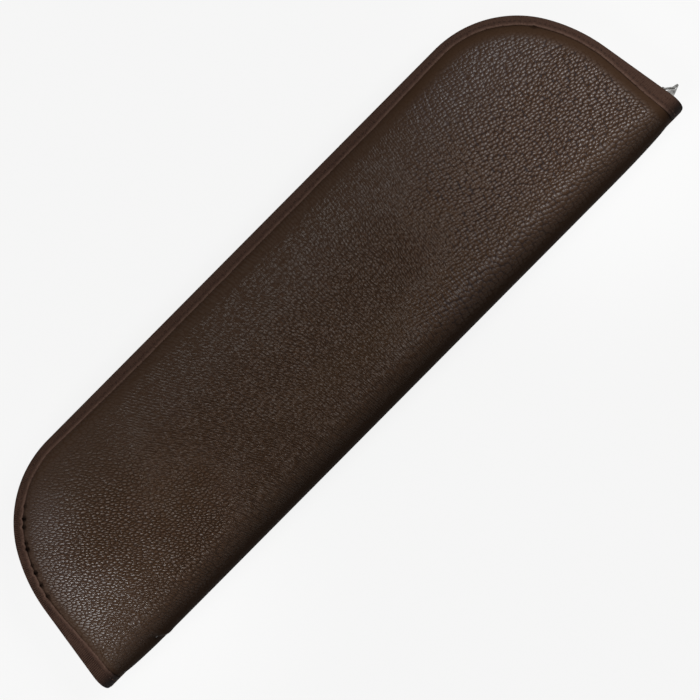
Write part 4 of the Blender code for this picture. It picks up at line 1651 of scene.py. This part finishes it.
@dataclass
class EdgeBindings:
    """The ribbed tape folded over the edge of each cover, with a smooth ridge along its inner edge.

    The step is the distance between its sections, the ridge and the lower lip are widths, and
    round_over is the radius of its outer edge.
    """

    step: float = 0.6
    ridge: float = 1.9
    lower_lip: float = 2.5
    round_over: float = 1.0
    round_steps: int = 5
    above_middle: float = 0.12

    def inner_edge(self, along: np.ndarray, cover: Cover) -> np.ndarray:
        """Width of the tape that shows, with its hand-sewn unevenness.

        Args:
            along: distances along the edge.
            cover: which cover it is.

        Returns:
            One width for each distance.
        """
        edge = EDGE.point(along, 0.0, LAYERS.rim)
        width = WIDTH.at(edge[:, 0], edge[:, 1])
        width = width + 0.16 * wander(along / 11.0, 4.0 + cover.value) + 0.07 * wander(along / 2.4, 8.0)
        for place, depth in self.notches(cover):
            width = width - depth * bell(along, place, 0.8)
        return width

    @staticmethod
    def notches(cover: Cover) -> list[tuple[float, float]]:
        """Places where a stitch has drawn the tape in.

        Args:
            cover: which cover it is.

        Returns:
            The distance along the edge and the depth of each notch.
        """
        if cover is Cover.BOTTOM:
            return []
        corner = sum(EDGE.spans[:3])
        made = [(corner + EDGE.corner_radius * math.radians(6), 0.3)]
        start = EDGE.length - corner - EDGE.corner_radius * math.radians(24)
        for step in range(9):
            place = start + 5.4 * step + 1.3 * math.sin(2.7 * step)
            made.append((place, 0.35 + 0.3 * abs(math.sin(1.9 * step))))
        return made

    def profile(self, width: float) -> list[tuple[float, float, float, float]]:
        """The tape's section, all the way round.

        Args:
            width: how much of the tape shows.

        Returns:
            (inset, height, smooth share, lip share) of each point.
        """
        rim, low, lip = LAYERS.rim, LAYERS.zip_gap_half, LAYERS.lip_top
        under, wall, r = LAYERS.upper_lip_low, LAYERS.binding, self.round_over
        crest = width - self.ridge
        section = [
            (width, under, 1.0, 0.3),
            (width, rim - 0.22, 1.0, 1.0),
            (width - 0.14, rim + 0.02, 1.0, 1.0),
            (width - 0.5, rim + 0.13, 1.0, 0.9),
            (width - 1.0, rim + 0.10, 1.0, 0.25),
            (crest + 0.35, rim, 1.0, 0.0),
            (crest, rim - 0.12, 0.5, 0.0),
            (crest - 0.35, rim - 0.02, 0.0, 0.0),
            (crest - 1.0, rim + 0.05, 0.0, 0.0),
            ((crest - 1.0 + r) / 2, rim + 0.04, 0.0, 0.0),
        ]
        turns = [QUARTER_TURN * step / self.round_steps for step in range(self.round_steps + 1)]
        section += [(r - r * math.sin(turn), rim - r + r * math.cos(turn), 0.0, 0.0) for turn in turns]
        section += [(r - r * math.cos(turn), low + r - r * math.sin(turn), 0.0, 0.0) for turn in turns]
        inside = [(self.lower_lip, low), (self.lower_lip, lip), (wall, lip), (wall, under)]
        inside.append(((wall + width) / 2, under))
        return section + [(inset, height, 0.0, 0.0) for inset, height in inside]

    def build(self, cover: Cover, finishes: Finishes) -> bpy.types.Object:
        """Makes the binding of one cover.

        Args:
            cover: which cover it is.
            finishes: the case's materials.

        Returns:
            The binding.
        """
        along = np.linspace(0, EDGE.length, int(EDGE.length / self.step))
        widths = self.inner_edge(along, cover)
        rows = np.array([self.profile(float(width)) for width in widths])
        swell = 0.05 * lumps(np.broadcast_to(along[:, None], rows.shape[:2]), rows[..., 0], (4.0, 2.5), 7.7)
        top = (rows[..., 1] > LAYERS.rim - 0.5) & (rows[..., 0] < widths[:, None])
        heights = rows[..., 1] + swell * top
        points = EDGE.point(along[:, None], rows[..., 0], heights)
        points[..., 2] = np.maximum(points[..., 2], self.above_middle)
        ring = np.append(rows[0, :, :2], rows[0, :1, :2], axis=0)
        lengths = np.linalg.norm(np.diff(ring, axis=0), axis=1)
        across = np.concatenate([[0], np.cumsum(lengths)])
        flat = np.empty((*rows.shape[:2], 2))
        flat[..., 0], flat[..., 1] = along[:, None], across[None, :-1]
        maker = MeshMaker()
        maker.tube(maker.points(to_world(points, cover), flat, selvedge=rows[..., 2], lip=rows[..., 3]))
        piece = maker.build(f"{cover.prefix}_grosgrain_binding", finishes.binding, 55)
        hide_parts(f"{cover.prefix}_binding")
        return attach(piece, cover.body)


@dataclass
class BindingStitches:
    """The row of separate stitches that holds each binding down.

    The middle of a stitch's thread lies sink below the tape's face, and its ends dive below that.
    """

    pitch: float = 2.3
    length: float = 1.55
    half_width: float = 0.24
    from_ridge: float = 1.9
    end_gap: float = 1.0
    sink: float = 0.06
    dive: float = 0.3
    sides: int = 8
    rings: int = 7

    def build(self, cover: Cover, binding: EdgeBindings, finishes: Finishes) -> bpy.types.Object:
        """Makes all the stitches of one cover as one object.

        Args:
            cover: which cover it is.
            binding: the binding that they hold.
            finishes: the case's materials.

        Returns:
            The stitches.
        """
        maker = MeshMaker()
        count = int((EDGE.length - 2 * self.end_gap) / self.pitch)
        middles = self.end_gap + self.pitch * (0.5 + np.arange(count))
        widths = binding.inner_edge(middles, cover)
        slant = 0.10 * wander(middles * 0.7, 6.5)
        for middle, width, lean in zip(middles, widths, slant):
            self.add_stitch(maker, cover, float(middle), float(width) - self.from_ridge, float(lean))
        piece = maker.build(f"{cover.prefix}_binding_stitches", finishes.thread)
        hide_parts(f"{cover.prefix}_binding_stitch")
        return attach(piece, cover.body)

    def add_stitch(
        self, maker: MeshMaker, cover: Cover, middle: float, inset: float, lean: float
    ) -> None:
        """Adds one stitch, a short thread that dives into the tape at both ends.

        Args:
            maker: collects the stitches.
            cover: which cover it is.
            middle: distance along the edge of the stitch's middle.
            inset: distance in from the outer edge.
            lean: how far its ends stand off that line.
        """
        share = np.linspace(-1, 1, self.rings)[:, None]
        turn = np.linspace(0, 2 * math.pi, self.sides, endpoint=False)[None]
        thick = self.half_width * np.sqrt(np.maximum(1 - (0.96 * share) ** 4, 0.02))
        across = inset + lean * share + thick * np.cos(turn)
        along = np.broadcast_to(middle + share * self.length / 2, across.shape)
        lift = LAYERS.rim - self.sink - self.dive * share ** 4 + thick * np.sin(turn)
        placed = to_world(EDGE.point(along, across, lift), cover)
        maker.tube(maker.points(placed, np.stack([along, across], axis=-1)))


@dataclass
class Zip:
    """The zip's two tapes and its two rows of teeth.

    The inset is how far in from the binding's outer edge the teeth stand. The root and the tips
    are heights: the tips are short within the slider's reach and meshed past it.
    """

    inset: float = 3.0
    tape_half: float = 0.25
    bead_top: float = 2.8
    bend: float = 0.45
    bend_steps: int = 4
    tape_from: float = 4 / 6
    tape_steps: int = 420
    sheet_inset: float = 1.2
    pitch: float = 2.8
    root: float = 2.2
    short_tip: float = 0.5
    meshed_tip: float = -0.55
    slider_length: float = 10.4
    slider_reach: float = 37.0
    first_gap: float = 0.8
    last_gap: float = 1.9
    tooth_sides: int = 12
    squareness: float = 0.6

    def tape_profile(self) -> np.ndarray:
        """The tape's section, all the way round.

        Returns:
            (inset, height) rows.
        """
        low, bend = LAYERS.tape_low, self.bend
        outer, inner = self.inset - self.tape_half, self.inset + self.tape_half
        section = [(self.sheet_inset, low), (outer - bend, low)]
        turns = np.linspace(0, QUARTER_TURN, self.bend_steps + 1)
        for turn in turns[1:]:
            section.append((outer - bend + bend * math.sin(turn), low - bend + bend * math.cos(turn)))
        edge = self.bead_top + LAYERS.clearance
        section += [(outer, edge), (inner, edge)]
        wide = bend + 2 * self.tape_half
        for turn in turns[::-1]:
            section.append((outer - bend + wide * math.sin(turn), low - bend + wide * math.cos(turn)))
        section.append((self.sheet_inset, LAYERS.tape_top))
        return np.array(section)

    def tape(self, cover: Cover, finishes: Finishes) -> bpy.types.Object:
        """Makes one tape: held flat in the binding, then turned down to the teeth.

        Args:
            cover: which cover it is.
            finishes: the case's materials.

        Returns:
            The tape.
        """
        profile = self.tape_profile()
        start = EDGE.spans[0] * self.tape_from
        along = np.linspace(start, EDGE.length - start, self.tape_steps)
        points = EDGE.point(along[:, None], profile[None, :, 0], profile[None, :, 1])
        lengths = np.linalg.norm(np.diff(profile, axis=0), axis=1)
        across = np.concatenate([[0], np.cumsum(lengths)])
        flat = np.empty((*points.shape[:2], 2))
        flat[..., 0], flat[..., 1] = along[:, None], across[None]
        maker = MeshMaker()
        maker.tube(maker.points(to_world(points, cover), flat))
        piece = maker.build(f"{cover.prefix}_woven_tape", finishes.tape, 40)
        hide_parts(f"{cover.prefix}_zip_tape")
        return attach(piece, cover.body)

    def tooth(self, tip: float) -> list[tuple[float, float, float]]:
        """Sections of a tooth, from the bead that grips the tape to the nose.

        Args:
            tip: height of the nose.

        Returns:
            (height, half length, half thickness) of each section.
        """
        top, grip = self.bead_top, self.root + 0.1
        bead = [(top + 0.25, 0.30, 0.55), (top + 0.2, 0.55, 0.95), (grip, 0.60, 1.02)]
        shape = [
            (0.0, 0.42, 0.95), (0.06, 0.62, 1.08), (0.45, 0.62, 1.08),
            (0.55, 0.50, 0.98), (0.68, 0.44, 0.92), (0.80, 0.52, 0.90),
            (0.92, 0.52, 0.80), (0.98, 0.38, 0.62), (1.0, 0.15, 0.30),
        ]
        reach = self.root - tip
        return bead + [(self.root - share * reach, half, thick) for share, half, thick in shape]

    def teeth(self, cover: Cover, finishes: Finishes) -> bpy.types.Object:
        """Makes one row of moulded teeth, set between those of the other row past the slider's reach.

        Args:
            cover: which cover it is.
            finishes: the case's materials.

        Returns:
            The row of teeth.
        """
        start = EDGE.spans[0] + self.first_gap
        stop = EDGE.length - EDGE.spans[0] - self.last_gap
        covered = math.ceil(self.slider_length / self.pitch) + 0.5
        first = start + covered * self.pitch * (cover is Cover.TOP)
        turn = np.linspace(0, 2 * math.pi, self.tooth_sides, endpoint=False)
        round_x = np.sign(np.cos(turn)) * np.abs(np.cos(turn)) ** self.squareness
        round_y = np.sign(np.sin(turn)) * np.abs(np.sin(turn)) ** self.squareness
        maker = MeshMaker()
        for middle in np.arange(first, stop, self.pitch):
            near_slider = middle < start + self.slider_reach
            section = np.array(self.tooth(self.short_tip if near_slider else self.meshed_tip))
            along = middle + section[:, 1:2] * round_x
            inset = self.inset + section[:, 2:3] * round_y
            points = EDGE.point(along, inset, np.broadcast_to(section[:, :1], along.shape))
            maker.tube(maker.points(to_world(points, cover), np.stack([along, inset], -1)))
        piece = maker.build(f"{cover.prefix}_tooth_row", finishes.metal, 50)
        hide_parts(f"{cover.prefix}_zip_teeth")
        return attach(piece, cover.body)


@dataclass
class Studio:
    """Floor, lamps and the camera, which looks straight down with the case turned as in the photograph.

    The image is frame_width across at the height frame_height, round the middle, in millimetres,
    and its right is the direction right of the world. The spots' and the floor's lengths are metres.
    """

    lens: float = 200.0
    sensor: float = 36.0
    frame_width: float = 299.1
    frame_height: float = 19.5
    middle: tuple[float, float] = (-1.64, -17.2)
    right: tuple[float, float] = (0.704, -0.710)
    spot_distance: float = 1.4
    spot_softness: float = 0.035
    room_light: float = 0.12
    floor_glow: float = 0.84
    floor_half: float = 3.0
    floor_drop: float = 0.0002

    def image_way(self, right: float, up: float) -> Vector:
        """World direction of a direction in the image."""
        x, y = self.right
        return Vector((x * right - y * up, y * right + x * up, 0.0))

    def camera(self) -> None:
        """Makes the camera."""
        data = bpy.data.cameras.new("camera")
        data.lens = self.lens
        data.sensor_width = self.sensor
        data.clip_start, data.clip_end = 0.01, 20.0
        camera = bpy.data.objects.new("camera", data)
        distance = self.frame_width * self.lens / self.sensor
        right, up = self.image_way(1, 0).normalized(), self.image_way(0, 1).normalized()
        camera.matrix_world = Matrix((
            (right.x, up.x, 0.0, self.middle[0] * MM),
            (right.y, up.y, 0.0, self.middle[1] * MM),
            (0.0, 0.0, 1.0, (self.frame_height + distance) * MM),
            (0.0, 0.0, 0.0, 1.0),
        ))
        bpy.context.scene.collection.objects.link(camera)
        bpy.context.scene.camera = camera

    def floor(self) -> None:
        """Makes the floor: white to the camera and to reflections, keeping the case's soft shadow."""
        graph = NodeGraph("white_floor")
        path = graph.add("ShaderNodeLightPath")
        seen = graph.math("MAXIMUM", path.outputs["Is Camera Ray"], path.outputs["Is Glossy Ray"])
        seen = graph.math("MAXIMUM", seen, path.outputs["Is Transmission Ray"])
        paper = graph.add("ShaderNodeBsdfDiffuse", {"Color": (0.86, 0.86, 0.85, 1.0)}).outputs[0]
        glow = graph.add("ShaderNodeEmission", {"Color": (1, 1, 1, 1), "Strength": 1.0}).outputs[0]
        both = graph.add("ShaderNodeMixShader", {0: self.floor_glow, 1: paper, 2: glow}).outputs[0]
        shown = graph.add("ShaderNodeMixShader", {0: seen, 1: paper, 2: both}).outputs[0]
        graph.links.new(shown, graph.nodes["Material Output"].inputs["Surface"])
        maker = MeshMaker()
        side = np.linspace(-self.floor_half, self.floor_half, 3)
        x, y = np.meshgrid(side, side)
        level = np.full_like(x, -self.floor_drop)
        maker.quads(maker.points(np.stack([x, y, level], -1), np.stack([x, y], -1)))
        maker.build("floor", graph.material)

    def hang(
        self, data: bpy.types.Light, way: float, tilt: float, distance: float, aim: Vector
    ) -> None:
        """Hangs a lamp so that it faces a point of the case.

        Args:
            data: the lamp's data.
            way: its direction in the image, in degrees anticlockwise from the right.
            tilt: its angle from straight overhead, in degrees.
            distance: its distance from the point in metres.
            aim: the point.
        """
        lamp = bpy.data.objects.new(data.name, data)
        turn, lean = math.radians(way), math.radians(tilt)
        level = self.image_way(math.cos(turn), math.sin(turn)) * math.sin(lean)
        away = (level + Vector((0, 0, math.cos(lean)))) * distance
        lamp.location = aim + away
        lamp.rotation_euler = (-away).to_track_quat("-Z", "Y").to_euler()
        bpy.context.scene.collection.objects.link(lamp)

    def lamp(
        self, name: str, way: float, tilt: float, distance: float, size: tuple[float, float], power: float
    ) -> None:
        """Adds a softbox that faces the case.

        Args:
            name: name of the lamp.
            way: its direction in the image, in degrees anticlockwise from the right.
            tilt: its angle from straight overhead, in degrees.
            distance: its distance from the case in metres.
            size: its width and height in metres.
            power: its power in watts.
        """
        data = bpy.data.lights.new(name, "AREA")
        data.shape = "RECTANGLE"
        data.size, data.size_y = size
        data.energy = power
        self.hang(data, way, tilt, distance, Vector((0.0, 0.0, 0.0)))

    def spot(
        self, name: str, way: float, tilt: float, aim: tuple[float, float], reach: float, power: float
    ) -> None:
        """Adds a soft-edged spot on one end of the case.

        Args:
            name: name of the lamp.
            way: its direction in the image, in degrees anticlockwise from the right.
            tilt: its angle from straight overhead, in degrees.
            aim: the middle of its patch of light, in millimetres.
            reach: radius of the patch in millimetres.
            power: its power in watts.
        """
        data = bpy.data.lights.new(name, "SPOT")
        data.energy = power
        data.shadow_soft_size = self.spot_softness
        data.spot_blend = 1.0
        data.spot_size = 2 * math.atan(reach * MM / self.spot_distance)
        self.hang(data, way, tilt, self.spot_distance, Vector((aim[0] * MM, aim[1] * MM, 0.02)))

    def lamps(self) -> None:
        """Makes the lamps and the dim room round them."""
        world = bpy.data.worlds.new("room")
        world.use_nodes = True
        world.node_tree.nodes["Background"].inputs["Color"].default_value = (1, 1, 1, 1)
        world.node_tree.nodes["Background"].inputs["Strength"].default_value = self.room_light
        bpy.context.scene.world = world
        self.lamp("upper_right_softbox", 45, 44, 1.8, (1.1, 1.1), 12.6)
        self.lamp("lower_left_softbox", 225, 44, 1.8, (1.1, 1.1), 10.6)
        self.spot("right_end_spot", 50, 10, (148.0, -25.0), 94.0, 31.0)
        self.spot("left_end_spot", 232, 20, (-155.0, -25.0), 86.0, 25.0)

    def build(self) -> None:
        """Makes the whole stage."""
        self.camera()
        self.floor()
        self.lamps()


def dress_metal(nodes: dict[str, bpy.types.Object], finishes: Finishes) -> None:
    """Gives the metal solids their finish and eases their edges.

    Args:
        nodes: the frame's nodes by name.
        finishes: the case's materials.
    """
    for name in METAL_NODES:
        obj = nodes[name]
        eased = obj.modifiers.new("eased_edges", "BEVEL")
        eased.width = EASED_WIDTH
        eased.segments = 2
        eased.angle_limit = EASED_FROM
        obj.data.materials.clear()
        obj.data.materials.append(finishes.metal)


def main() -> None:
    """Builds the case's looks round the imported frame."""
    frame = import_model()
    bpy.context.scene.view_settings.view_transform = "Standard"
    finishes = Finishes.make()
    leather = LeatherPanel()
    leather.build(finishes)
    binding = EdgeBindings()
    zipper = Zip()
    for cover in Cover:
        Linings().build(cover, finishes)
        FoamPads().build(cover, leather, finishes)
        binding.build(cover, finishes)
        BindingStitches().build(cover, binding, finishes)
        zipper.tape(cover, finishes)
        zipper.teeth(cover, finishes)
    dress_metal(frame["nodes"], finishes)
    Studio().build()


if __name__ == "__main__":
    logging.basicConfig(level=logging.INFO, format="%(name)s: %(message)s")
    main()
